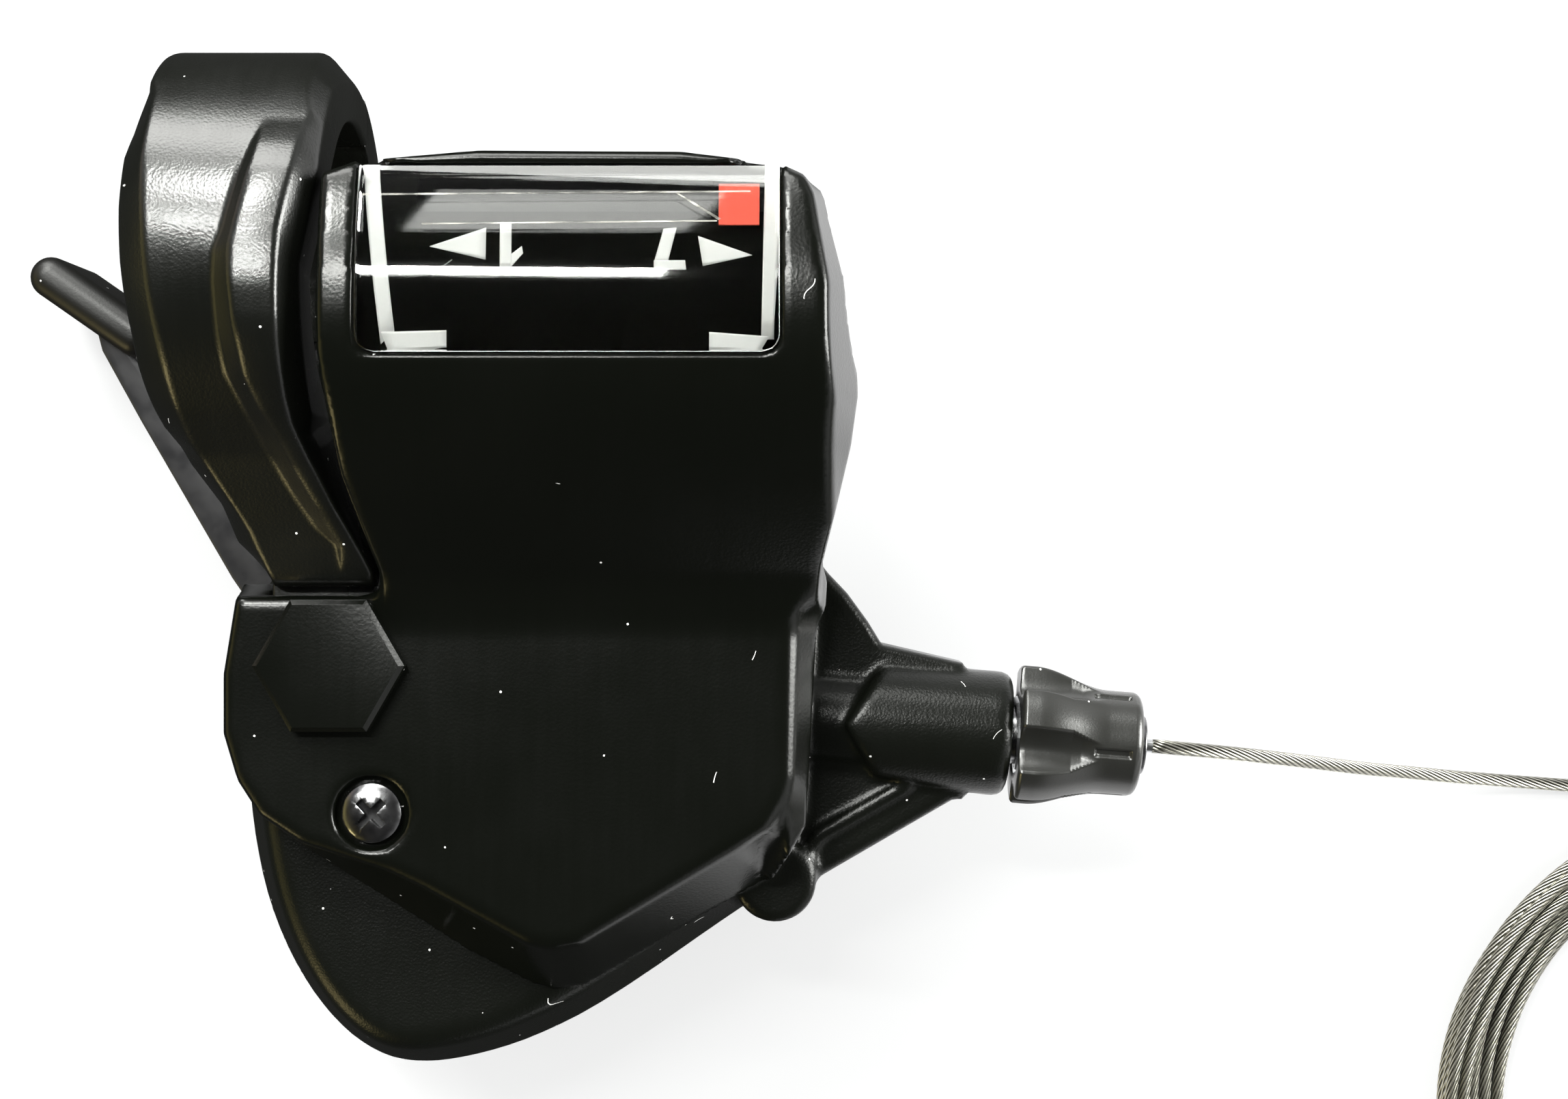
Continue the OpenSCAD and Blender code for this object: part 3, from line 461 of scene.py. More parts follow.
cable_path = smoothed(np.concatenate([[CABLE_EXIT], ROUTE, coil_path()]), CABLE_STEP, CABLE_REACH)
cable_steps = np.linalg.norm(np.diff(cable_path, axis=0), axis=1)
cable_along = np.concatenate([[0], np.cumsum(cable_steps)]) * MM
cable_uv = np.stack(np.broadcast_arrays(cable_along[:, None], -np.arange(AROUND) / AROUND), axis=-1)
cable = surface("shift_cable", tube_grid(cable_path, CABLE_R, AROUND), "root", "cable_steel",
                material=strand_steel(), uv=cable_uv.reshape(-1, 2))
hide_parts("cable_run", "cable_coil")


# CAD solids with rounded edges
EDGE_ANGLE = 28.0


def bevelled(piece, width, segments, angle):
    """A bevel of a width in millimetres on every edge sharper than an angle in degrees."""
    bevel = piece.modifiers.new("rounded_edges", "BEVEL")
    bevel.width = width * MM
    bevel.segments = segments
    bevel.limit_method = "ANGLE"
    bevel.angle_limit = math.radians(angle)
    return bevel


def softened(name, width, below=None):
    """A copy of a CAD solid, merged, with every edge sharper than EDGE_ANGLE rounded by the width.

    below keeps only what lies under that height, closed by a flat face.
    """
    mesh = frame["nodes"][name].data.copy()
    work = bmesh.new()
    work.from_mesh(mesh)
    bmesh.ops.remove_doubles(work, verts=work.verts, dist=3e-6)
    bmesh.ops.dissolve_limit(work, angle_limit=math.radians(0.8), verts=work.verts, edges=work.edges)
    if below is not None:
        bmesh.ops.bisect_plane(work, geom=work.verts[:] + work.edges[:] + work.faces[:], clear_outer=True,
                               plane_co=(0, 0, below * MM), plane_no=(0, 0, 1))
        bmesh.ops.holes_fill(work, edges=[edge for edge in work.edges if edge.is_boundary])
    work.to_mesh(mesh)
    work.free()
    mesh.materials.clear()
    mesh.materials.append(FINISH[SLOT_OF[name]])
    mesh.shade_smooth()
    piece = bpy.data.objects.new(name + "_rounded", mesh)
    scene.collection.objects.link(piece)
    bevelled(piece, width, segments=2, angle=EDGE_ANGLE).harden_normals = True
    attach(piece, BODY_OF[name])
    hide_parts(name)


BODY_OF = {name: body for body, names in frame["record"]["behaviour"]["bodies"].items() for name in names}
SLOT_OF = {part["node"]: part["material_slot"] for part in frame["record"]["subparts"]}
ROUNDED = {"clamp_ring": 0.35, "clamp_strap": 0.35, "hex_cap": 0.2, "thumb_lever": 0.25,
           "release_lever": 0.2, "barrel_core": 0.12, "cover_screw": 0.07, "clamp_bolt": 0.2}
OWN_SURFACE = ("cable_run", "cable_coil", "barrel_knob", "top_cover", "base_housing", "window_lens",
               "thumb_pad")
for name, solid in frame["nodes"].items():
    if name in ROUNDED:
        softened(name, ROUNDED[name], below=JOINT_Z + 0.1 if name == "clamp_ring" else None)
    elif name not in OWN_SURFACE:
        solid.data.materials.clear()
        solid.data.materials.append(FINISH[SLOT_OF[name]])


# Clamp ring and arm
def rounded_corners(loops, reach, steps=4):
    """Makes each corner of closed loops (rows, corners, 3) a quadratic curve, begun a reach before it."""
    before, after = np.roll(loops, 1, axis=1), np.roll(loops, -1, axis=1)

    def towards(other):
        way = other - loops
        size = np.linalg.norm(way, axis=-1, keepdims=True)
        return loops + way * np.minimum(reach / np.maximum(size, 1e-9), 0.46)

    a, b = towards(before)[:, :, None], towards(after)[:, :, None]
    t = np.linspace(0, 1, steps)[None, None, :, None]
    curve = (1 - t) ** 2 * a + 2 * t * (1 - t) * loops[:, :, None] + t ** 2 * b
    return curve.reshape(len(loops), -1, 3)


# Edges of the ring and its arm in plan, as pairs of Y and X from the front to the back
LEFT_FOOT = [(16.2, -6.1), (12, -5.97), (10.06, -6.89), (7.76, -7.29), (3.97, -7.3), (-0.43, -7.12),
             (-3.76, -6.86), (-7.6, -6.45), (-10.46, -5.96), (-12.46, -5.5), (-15.38, -4.23), (-18.2, -2.36),
             (-20.87, -1.49), (-21.89, -0.47), (-23.38, 0.82)]
LEFT_EDGE = [(12.5, -5.6), (11.43, -5.26), (6.17, -5.23), (2.77, -4.96), (-3.04, -4.55), (-6.83, -4.12),
             (-10.97, -3.65), (-13.41, -3.22), (-15.11, -2.36), (-19.68, 0.09), (-23.24, 1.35)]
RIB_LEFT_ROOT = [(8.62, 2.61), (6.89, 2.16), (4.38, 1.39), (0.82, 0.54), (-0.36, -0.02), (-2.31, -0.11),
                 (-5.88, 0.09), (-8.74, 0.36), (-11.56, 1.4), (-13.73, 2.12), (-16.67, 3.46), (-19.28, 4.92),
                 (-20.62, 6.45)]
RIB_LEFT_TOP = [(8.58, 3.0), (3.75, 2.24), (1.36, 1.68), (-0.13, 1.44), (-2.29, 1.4), (-5.38, 1.64),
                (-9.21, 2.01), (-11.19, 2.69), (-12.96, 3.64), (-15.17, 4.44), (-17.92, 5.75), (-20.63, 6.74)]
RIB_RIGHT_TOP = [(16.2, 5.1), (12, 5.6), (9.77, 6.1), (8.58, 5.83), (4.62, 5.36), (0.68, 4.66), (-4.57, 4.61),
                 (-10.38, 4.54), (-12, 4.71), (-14.12, 5.47), (-17.58, 6.82), (-21.07, 8.29), (-22.67, 8.87)]
RIGHT_FOOT = [(16.2, 6.9), (10.77, 6.92), (6.49, 6.79), (2.42, 6.26), (-0.96, 5.68), (-5.95, 5.64),
              (-11.36, 5.6), (-12.7, 5.3), (-14.73, 5.8), (-18.22, 7.0), (-21.28, 8.2), (-22.7, 8.9)]
RIB_HEIGHT = [(9, 0), (7, 0.5), (5, 0.85), (3, 1.0), (1, 1.15), (-1, 1.5), (-3, 1.95), (-5, 2.25), (-8, 2.2),
              (-13, 1.6), (-17.6, 1.3), (-20.6, 0.6), (-22.7, 0)]
LEFT_DEPTH = [(12.5, 0.3), (10, 2.4)]
RIGHT_DEPTH = [(15.8, 2.2), (13, 1.2)]
# Side view: the outer line sweeps the crown and follows the arm's top; the inner line sweeps the bore
CROWN_SWEEP = (-16.1, 124.3)
ARM_TOP = [(-11, 11.9), (-14.5, 8.3), (-19, 5.8), (-23.2, 4.0), (-23.55, 3.5), (-23.7, 2.6)]
FRONT_SHARE, BORE_SHARE, FRONT_TURN = 0.3, 0.8, 7.8
BORE_SWEEP = ([0, FRONT_SHARE, 0.62, BORE_SHARE, 1], [-23.9, 45, 120, 203.9, 203.9])
ARM_END_Y, RING_CORNER = -23.2, 0.42


def at_y(pairs, y):
    y_of, x_of = np.array(pairs).T
    return np.interp(-y, -y_of, x_of)


def clamp_ring_body(stations=150):
    """Ring and arm: at each station an eight-cornered profile hangs between a point O of the outer line and
    a point I of the inner one, its corners at a depth from O towards I and at an X read from the plan."""
    crown = np.radians(np.linspace(*CROWN_SWEEP, 90))
    outer = np.concatenate([BAND_R * circle(crown), ARM_TOP])
    outer = along_line(eased_line(along_line(outer, 400), 9), stations)
    angle = np.degrees(np.arctan2(outer[:, 1], outer[:, 0]))
    length = np.linspace(0, 1, stations)
    over = np.where(length < FRONT_SHARE, angle - FRONT_TURN * (1 - length / FRONT_SHARE),
                    np.interp(length, *BORE_SWEEP))
    inner = BAR_R * circle(np.radians(over))
    inner[:, 0] = np.where(length > BORE_SHARE,
                           np.interp(length, [BORE_SHARE, 1], [inner[-1, 0], ARM_END_Y]), inner[:, 0])
    y = outer[:, 0]
    height = at_y(RIB_HEIGHT, y)
    left, right = at_y(LEFT_FOOT, y), at_y(RIGHT_FOOT, y)
    corners = [(left, None), (left, at_y(LEFT_DEPTH, y)), (at_y(LEFT_EDGE, y), 0 * y),
               (at_y(RIB_LEFT_ROOT, y), 0 * y), (at_y(RIB_LEFT_TOP, y), -height),
               (at_y(RIB_RIGHT_TOP, y), -height), (right, at_y(RIGHT_DEPTH, y)), (right, None)]
    down = unit(inner - outer)
    loops = [np.column_stack([x, inner if depth is None else outer + down * depth[:, None]])
             for x, depth in corners]
    return rounded_corners(np.stack(loops, axis=1), RING_CORNER)


def plan_prism(outline, low, high, fillet=0.25, steps=4):
    """A plan outline carried up from low to high, drawn in by a quarter round at both ends."""
    edge = np.roll(outline, -1, axis=0) - np.roll(outline, 1, axis=0)
    normal = unit(np.stack([edge[:, 1], -edge[:, 0]], axis=-1))
    t = np.linspace(0, math.pi / 2, steps)
    inset = np.concatenate([fillet * (1 - np.sin(t)), fillet * (1 - np.cos(t))])
    z = np.concatenate([low + fillet * (1 - np.cos(t)), high - fillet * (1 - np.sin(t))])
    plan = outline[None] - normal[None] * inset[:, None, None]
    height = np.broadcast_to(z[:, None, None], plan.shape[:2] + (1,))
    return outward(np.concatenate([plan, height], axis=-1))


ring = surface("clamp_ring_body", outward(clamp_ring_body()), "root", "ring_plastic")
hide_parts("clamp_ring")
HEX_AT, SCREW_AT = (5.7, -29.5), (8.6, -40.5)
BRACKET_R, BRACKET_TOP = 5.2, 1.6
BRACKET = np.concatenate([HEX_AT + BRACKET_R * circle(np.radians(np.linspace(180, 360, 17))),
                          [(9.4, -24.5), (9.2, -22.6), (1.0, -22.6), (0.9, -24.5)]])
bracket = surface("clamp_bracket", plan_prism(BRACKET, JOINT_Z, BRACKET_TOP), "root", "ring_plastic")
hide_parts("clamp_ring")

# Thumb pad: a stadium in plan, its top and foot rounded almost to a rod
PAD_ENDS = np.array([(-21.3, 1.5), (-14.4, -3.3)])
PAD_R, PAD_TOP, PAD_FILLET = 1.7, -15.4, 1.45
pad_way = math.atan2(*(PAD_ENDS[1] - PAD_ENDS[0])[::-1])
half_turn = np.linspace(math.pi / 2, 3 * math.pi / 2, 17)
PAD_PLAN = np.concatenate([end + PAD_R * circle(half_turn + a)
                           for end, a in zip(PAD_ENDS, (pad_way, pad_way + math.pi))])
pad = surface("rounded_thumb_pad", plan_prism(PAD_PLAN, TABLE_Z, PAD_TOP, PAD_FILLET, 9), "thumb",
              "lever_plastic")
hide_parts("thumb_pad")


# Moulded cover and housing, as fields that are below nothing inside the plastic
def outline_distance(x, y, outline):
    """Signed distance in plan to a closed outline: the nearest side's distance, below nothing inside."""
    corners = np.asarray(outline, dtype=float)
    nearest = np.full(np.broadcast(x, y).shape, 1e9)
    inside = np.zeros(nearest.shape, dtype=bool)
    for (ax, ay), (bx, by) in zip(corners, np.roll(corners, -1, axis=0)):
        wx, wy = bx - ax, by - ay
        t = np.clip(((x - ax) * wx + (y - ay) * wy) / (wx * wx + wy * wy), 0, 1)
        nearest = np.minimum(nearest, (x - ax - t * wx) ** 2 + (y - ay - t * wy) ** 2)
        if by != ay:
            inside ^= ((ay > y) != (by > y)) & (x < ax + (y - ay) * wx / wy)
    return np.where(inside, -1, 1) * np.sqrt(nearest)


def larger(a, b, blend=0.0):
    """The larger of two fields, with their edge rounded over the blend: what both solids share."""
    if blend == 0:
        return np.maximum(a, b)
    h = np.clip(0.5 + 0.5 * (a - b) / blend, 0, 1)
    return b + (a - b) * h + blend * h * (1 - h)


def smaller(a, b, blend=0.0):
    """The smaller of two fields, with a fillet of the blend between them: either solid."""
    return -larger(-a, -b, blend)


def layer(z, low, high, blend=0.0):
    return larger(low - z, z - high, blend)


PROBE = 0.05


def moulded(name, field, low, high, cell, slot):
    """Closed mesh of the points where a field is nothing.

    Each cell that the surface crosses gets one point, the mean of its edges' crossings, which then steps
    twice along the field's gradient g by -f g / |g|^2. Each grid edge that it crosses gets one quad.
    """
    axes = [np.arange(a, b + cell, cell) for a, b in zip(low, high)]
    x, y, z = np.meshgrid(*axes, indexing="ij", sparse=True)
    f = np.broadcast_to(field(x, y, z), [len(axis) for axis in axes])
    solid = f < 0
    counts = [len(axis) - 1 for axis in axes]
    total = np.zeros(counts + [3])
    hits = np.zeros(counts)
    full = [np.broadcast_to(v, f.shape) for v in (x, y, z)]
    for axis in range(3):
        first = tuple(slice(0, -1) if k == axis else slice(None) for k in range(3))
        second = tuple(slice(1, None) if k == axis else slice(None) for k in range(3))
        crossed = solid[first] != solid[second]
        share = np.where(crossed, f[first] / np.where(crossed, f[first] - f[second], 1), 0)
        point = np.stack([v[first] + share * (v[second] - v[first]) for v in full], axis=-1)
        one, two = [k for k in range(3) if k != axis]
        for i in (0, 1):
            for j in (0, 1):
                part = [slice(None)] * 3
                part[one] = slice(i, i + counts[one])
                part[two] = slice(j, j + counts[two])
                part = tuple(part)
                total += np.where(crossed[part][..., None], point[part], 0)
                hits += crossed[part]
    used = hits > 0
    number = np.full(counts, -1)
    number[used] = np.arange(used.sum())
    points = total[used] / hits[used][:, None]
    for _ in range(2):
        here = field(*points.T)
        slope = np.stack([(field(*(points + step).T) - field(*(points - step).T)) / (2 * PROBE)
                          for step in PROBE * np.eye(3)], axis=-1)
        size = np.maximum((slope ** 2).sum(axis=-1), 0.2)
        move = -slope * (here / size)[:, None]
        points = points + np.clip(move, -0.4 * cell, 0.4 * cell)
    faces = []
    for axis in range(3):
        one, two = (axis + 1) % 3, (axis + 2) % 3
        cut = [slice(1, -1)] * 3
        cut[axis] = slice(0, -1)
        after = list(cut)
        after[axis] = slice(1, None)
        start, end = solid[tuple(cut)], solid[tuple(after)]
        where = np.argwhere(start != end)
        place = where + np.array([0 if k == axis else 1 for k in range(3)])
        ring = []
        for i, j in ((0, 0), (1, 0), (1, 1), (0, 1)):
            corner = place.copy()
            corner[:, one] -= i
            corner[:, two] -= j
            ring.append(number[tuple(corner.T)])
        quads = np.stack(ring, axis=-1)
        leaving = start[tuple(where.T)]
        faces.append(np.where(leaving[:, None], quads, quads[:, ::-1]))
    return new_piece(name, points, np.concatenate(faces).tolist(), "root", slot)


WALL, RIM_Z, FACE_Z, CREST_Z, BASE_Z = 1.6, -4.5, 3.5, 17.4, -18.0
FLOOR_Z, ROOF_Z = BASE_Z + WALL, RIM_Z - 1.5
CLEAR_R = BAR_R + 0.8
DISPLAY_TOP = [(7.2, 5.0), (9.5, 5.9), (18, 6.7), (32, 6.6), (38.8, 5.6), (40.4, 4.8), (41.9, -2.7),
               (41.9, -10.6), (41.1, -13.5), (39.9, -21.7), (39.2, -25), (10.1, -25), (8.0, -15.9),
               (7.2, -7.3)]
DISPLAY_FOOT = [(7.2, 5.2), (9.5, 6.1), (18, 6.9), (32, 6.8), (39.4, 6.0), (42.4, 4.6), (44.2, -1.6),
                (44.5, -9.9), (44.0, -13.5), (42.0, -22), (41.7, -25), (10.1, -25), (8.0, -15.9),
                (7.2, -7.3)]
FACE_TOP = [(-1.4, -24.5), (-2.3, -30.2), (-2.3, -34.6), (-1.3, -38), (0.4, -40.6), (3.4, -42.6),
            (9.9, -44.6), (12.5, -45.8), (20.2, -50.0), (22.1, -50.3), (24, -50), (37.9, -41.6),
            (39.2, -39.3), (39.65, -37.9), (39.8, -24.5)]
FACE_RIM = [(-2.6, -23.6), (-3.9, -30.4), (-3.9, -34.8), (-2.6, -38.8), (-1.2, -41.5), (2.2, -44.0),
            (14.6, -51.9), (19.6, -54.5), (21.3, -55.0), (23.6, -54.8), (38.3, -46.2), (40.8, -41.8),
            (41.0, -38.9), (41.7, -26), (41.7, -23.6)]
WINDOW = [(9.8, 5.75), (9.8, -6.3), (9.96, -6.9), (10.4, -7.34), (11.0, -7.5), (37.8, -7.5), (38.4, -7.34),
          (38.84, -6.9), (39.0, -6.3), (39.0, 5.75)]
SLOPE_Y, SLOPE_Z, SLOPE_NORMAL = -12.2, 16.4, (0.710, 0.704)
LENS_SEAT, DIAL_SEAT = ARCH_R - 1.8, (24.8, 25.5)
DIAL_MIDDLE, DIAL_HALF = (24.4, -1.55), (15.15, 6.5)
WALL_FOOT = ([37.5, 39.5], [RIM_Z, 0.8])
ARM_WAY = ((0.6, 9.7), (-27, -21), (-6, 1.9))
SIDE_FOOT_Z, SIDE_RISE = 9, CREST_Z - 8
HEX_HOLE_R, RECESS_R, SCREW_R = 3.75, 2.75, 1.35


def post(x, y, at, radius):
    return np.hypot(x - at[0], y - at[1]) - radius


def cover_field(x, y, z):
    """Cover: display (side walls, arch, slope, bar's way) joined to the lower face, less hollow and holes."""
    high = np.clip((z - SIDE_FOOT_Z) / SIDE_RISE, 0, 1)
    foot, top = outline_distance(x, y, DISPLAY_FOOT), outline_distance(x, y, DISPLAY_TOP)
    side = foot + (top - foot) * high
    round_arch = np.hypot(y - CREST_Y, z - ARCH_Z)
    arch = round_arch - ARCH_R
    slope = (z - SLOPE_Z) * SLOPE_NORMAL[1] - (y - SLOPE_Y) * SLOPE_NORMAL[0]
    round_bar = np.hypot(y, z)
    display = larger(larger(larger(arch, slope, 5.0), side, 0.6), CLEAR_R - round_bar, 0.5)
    wall_low = np.interp(x, *WALL_FOOT)
    rise = np.clip((z - wall_low) / (FACE_Z - wall_low), 0, 1)
    rim, face_edge = outline_distance(x, y, FACE_RIM), outline_distance(x, y, FACE_TOP)
    wall_side = rim + (face_edge - rim) * rise
    outer = smaller(display, larger(wall_side, z - FACE_Z, 0.8), 2.6)
    hollow = smaller(larger(larger(larger(arch, slope), side) + WALL, CLEAR_R + 1.04 - round_bar),
                     larger(wall_side, z - FACE_Z) + WALL)
    shell = larger(larger(outer, -hollow, 0.2), RIM_Z - z, 0.3)
    window = larger(outline_distance(x, y, WINDOW), LENS_SEAT - round_arch)
    dial = larger(np.abs(x - DIAL_MIDDLE[0]) - DIAL_HALF[0], np.abs(y - DIAL_MIDDLE[1]) - DIAL_HALF[1])
    seat = larger(dial, layer(round_arch, *DIAL_SEAT))
    arm_way = larger(larger(layer(x, *ARM_WAY[0]), layer(y, *ARM_WAY[1])), layer(z, *ARM_WAY[2]))
    shell = larger(larger(larger(shell, -window, 0.35), -seat), -arm_way, 0.2)
    bolt_hole = larger(post(x, y, HEX_AT, HEX_HOLE_R), -z)
    recess = smaller(larger(post(x, y, SCREW_AT, RECESS_R), FACE_Z - 1 - z), post(x, y, SCREW_AT, SCREW_R))
    return larger(larger(shell, -bolt_hole, 0.2), -recess, 0.4)


HOUSE_CORNERS = [(-2.6, -23.4), (-3.9, -30.4), (-3.9, -37), (-3.5, -43), (-2.2, -49.4), (0.3, -55),
                 (3.3, -59), (6.5, -61.4), (9.8, -62.2), (14, -61.7), (19, -60.2), (25, -57.2),
                 (35.8, -49.6), (41, -46.4), (42.4, -43), (42.6, -24.5), (42.1, -22.2), (38, -17.4),
                 (34, -16.4), (11, -16.4), (2, -19.8)]
WING_SIDE = [(38, -48), (41.8, -46.8), (52.5, -40.6), (53.4, -40.6), (53.4, -29.9), (46.9, -28.4),
             (45.8, -26.6), (44.2, -24.4), (42.1, -22.2), (38, -20.5)]
BOSS_V = [(43.9, -34.5), (47.1, -29.5), (60, -28), (60, -42), (46.2, -38.6)]
BOSS_START, PAD_BOSS_R, CORE_BOSS_R = 22, 4.9, 3.7
THREAD_START, THREAD_R, BORE_START, BORE_R = 29.1, 2.35, 16, 0.95
RIB_PATH = np.array([(41.2, -45.8), (41.2, -44.3), (42, -43.3), (48.7, -39.5)])
RIB_HALF, RIB_SPAN, WING_TOP = 0.5, (-7.8, -6.2), -6.8
LUG_AT, LUG_R = (38.5, -46.8), 3.2
POSTS = [(34.5, -40.5), (3.2, -38.5)]
POST_R, HEAD_R, SHANK_R, POST_TOP = 2.3, 2.1, 1.05, -1.4
HEX_BOSS_R, BOLT_R, BOLT_FOOT = 4.2, 2.55, -14
SPOOL_ROOM_R, SPOOL_ROOM_TOP, AXLE_HOLE_R = 11.8, -5.2, 4.9
FINGER_R, FINGER_HALF, FINGER_SWEEP = 14.2, 1.4, (13, 51)


def cut_corners(outline):
    """Each side keeps its middle half, which rounds the corners between them."""
    p = np.asarray(outline, dtype=float)
    following = np.roll(p, -1, axis=0)
    return np.stack([p + 0.25 * (following - p), p + 0.75 * (following - p)], axis=1).reshape(-1, 2)


HOUSE_SIDE = cut_corners(cut_corners(HOUSE_CORNERS))


def housing_field(x, y, z):
    """Housing: the lobe with its drawn-in edges, the wing, the cable boss and its ledge, less the hollow."""
    house = outline_distance(x, y, HOUSE_SIDE)
    rim = outline_distance(x, y, FACE_RIM)
    drawn_in = np.interp(z, [BASE_Z, BASE_Z + 3, RIM_Z - 7, RIM_Z], [2, 0, 0, 2.6])
    lobe = larger(house + drawn_in, layer(z, BASE_Z, RIM_Z), 1.6)
    seat = larger(larger(house, rim + 0.2), layer(z, RIM_Z - 2.5, RIM_Z))
    ax, ay = x - AXLE[0], y - AXLE[1]
    turned = np.hypot(ax, ay)
    hollow = smaller(larger(house + 2 * WALL, layer(z, FLOOR_Z, ROOF_Z)), larger(rim + 1.8, ROOF_Z - 1 - z))
    hollow = smaller(hollow, larger(turned - SPOOL_ROOM_R, layer(z, RIM_Z - 4, SPOOL_ROOM_TOP)))
    c, s = math.cos(CABLE_TILT), math.sin(CABLE_TILT)
    along, off = c * ax - s * ay, np.hypot(s * ax + c * ay - WIND_R, z - CABLE_Z)
    wing = larger(outline_distance(x, y, WING_SIDE), layer(z, BASE_Z + 5, WING_TOP), 0.9)
    shell = larger(smaller(smaller(lobe, seat), wing, 0.8), -hollow)
    pad = larger(larger(off - PAD_BOSS_R, layer(along, BOSS_START, BOSS_END), 1.2),
                 outline_distance(x, y, BOSS_V), 0.7)
    core = larger(off - CORE_BOSS_R, layer(along, BOSS_START, BOSS_END - 1))
    shell = smaller(smaller(shell, core, 0.6), pad, 0.5)
    ridge = np.full(np.broadcast(x, y).shape, 1e9)
    for a, b in zip(RIB_PATH[:-1], RIB_PATH[1:]):
        way = b - a
        t = np.clip(((x - a[0]) * way[0] + (y - a[1]) * way[1]) / (way @ way), 0, 1)
        ridge = np.minimum(ridge, post(x, y, (a[0] + t * way[0], a[1] + t * way[1]), RIB_HALF))
    shell = smaller(shell, larger(ridge, layer(z, *RIB_SPAN), 0.3), 0.5)
    shell = smaller(shell, larger(post(x, y, LUG_AT, LUG_R), layer(z, BASE_Z, RIM_Z - 1), 0.8), 0.6)
    shell = smaller(shell, larger(post(x, y, HEX_AT, HEX_BOSS_R), layer(z, BASE_Z + 0.3, RIM_Z)))
    for at in POSTS:
        shell = smaller(shell, larger(post(x, y, at, POST_R), layer(z, BASE_Z + 0.3, POST_TOP)))
        shell = larger(shell, -smaller(larger(post(x, y, at, HEAD_R), z - FLOOR_Z), post(x, y, at, SHANK_R)))
    angle = np.degrees(np.arctan2(ay, ax))
    finger = larger(np.abs(turned - FINGER_R) - FINGER_HALF, layer(angle, *FINGER_SWEEP) * 0.25)
    bolt = larger(post(x, y, HEX_AT, BOLT_R), BOLT_FOOT - z)
    thread = smaller(larger(off - THREAD_R, THREAD_START - along), larger(off - BORE_R, BORE_START - along))
    for hole in (larger(turned - AXLE_HOLE_R, z + 8), larger(finger, z - FLOOR_Z - 0.4), bolt, thread):
        shell = larger(shell, -hole, 0.2)
    return shell


COVER_BOX = ((-5, -56, -5.5), (45.6, 8, 18.6))
HOUSING_BOX = ((-5, -63.4, -19), (58.4, -15, -0.4))
cover = moulded("moulded_cover", cover_field, *COVER_BOX, 0.42, "cover_plastic")
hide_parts("top_cover")
housing = moulded("moulded_housing", housing_field, *HOUSING_BOX, 0.45, "housing_plastic")
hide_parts("base_housing")


# Window: an arched tile whose plan has two rounded corners
TILE_X, TILE_WIDTH, TILE_Y, TILE_CORNER = 9.88, 29.04, (-7.42, 5.62), 1.22


def window_tile(rows=60, columns=80):
    """Rows of constant Y, each a flat loop: over the arch from left to right, and back below."""
    y = np.linspace(*TILE_Y, rows)
    reach = np.clip(TILE_CORNER - (y - TILE_Y[0]), 0, TILE_CORNER)
    inset = TILE_CORNER - np.sqrt(TILE_CORNER ** 2 - reach ** 2)
    u = np.linspace(0, 1, columns)
    x = (TILE_X + inset)[:, None] + u[None] * (TILE_WIDTH - 2 * inset)[:, None]
    y = np.broadcast_to(y[:, None], x.shape)
    top = np.stack([x, y, arch_z(y, ARCH_R)], axis=-1)
    below = np.stack([x, y, arch_z(y, ARCH_R - 1)], axis=-1)[:, ::-1]
    return np.concatenate([top, below], axis=1)


tile = surface("window_tile", outward(window_tile()), "root", "clear_window")
bevelled(tile, width=0.14, segments=3, angle=40)
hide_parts("window_lens")


# Barrel adjuster's knob: pairs of a place along it and a radius
LAND_R, WAIST_R, WAIST_START, WAIST_FALL = 5.54, 4.1, 1.2, 5.8
KNOB_EDGES = [(0, 5.3), (0.1, 5.46), (0.3, 5.56), (0.31, 9), (8.99, 9), (9.0, 4.1), (9.2, 4.04), (9.35, 3.94),
              (9.5, 3.78), (9.6, 3.55)]
FLUTE_FLOOR = [(0, 3.8), (0.4, 3.85), (4.8, 3.8), (5.6, 4.0), (6.2, 4.12), (9.0, 4.08), (9.35, 3.95),
               (9.6, 3.6)]
KNOB_BORE = [(9.6, 3.3), (9.42, 3.15), (9.35, 2.6), (9.35, 2.34), (3.6, 2.34), (3.6, 3.3), (0.25, 3.3),
             (0, 3.5)]
# Flutes: a first angle, their number, and half of their angle over the same places
FLUTE_AT, FLUTES = 188.0, 5
FLUTE_HALF = [(0, 19.0), (4.0, 19.0), (6.3, 9.0)]
SLOT_HALF, SLOT_SIDE, SLOT_SPAN, SLOT_END, SLOT_DEPTH = 4.6, 1.2, (5.75, 8.75), 0.2, 0.28


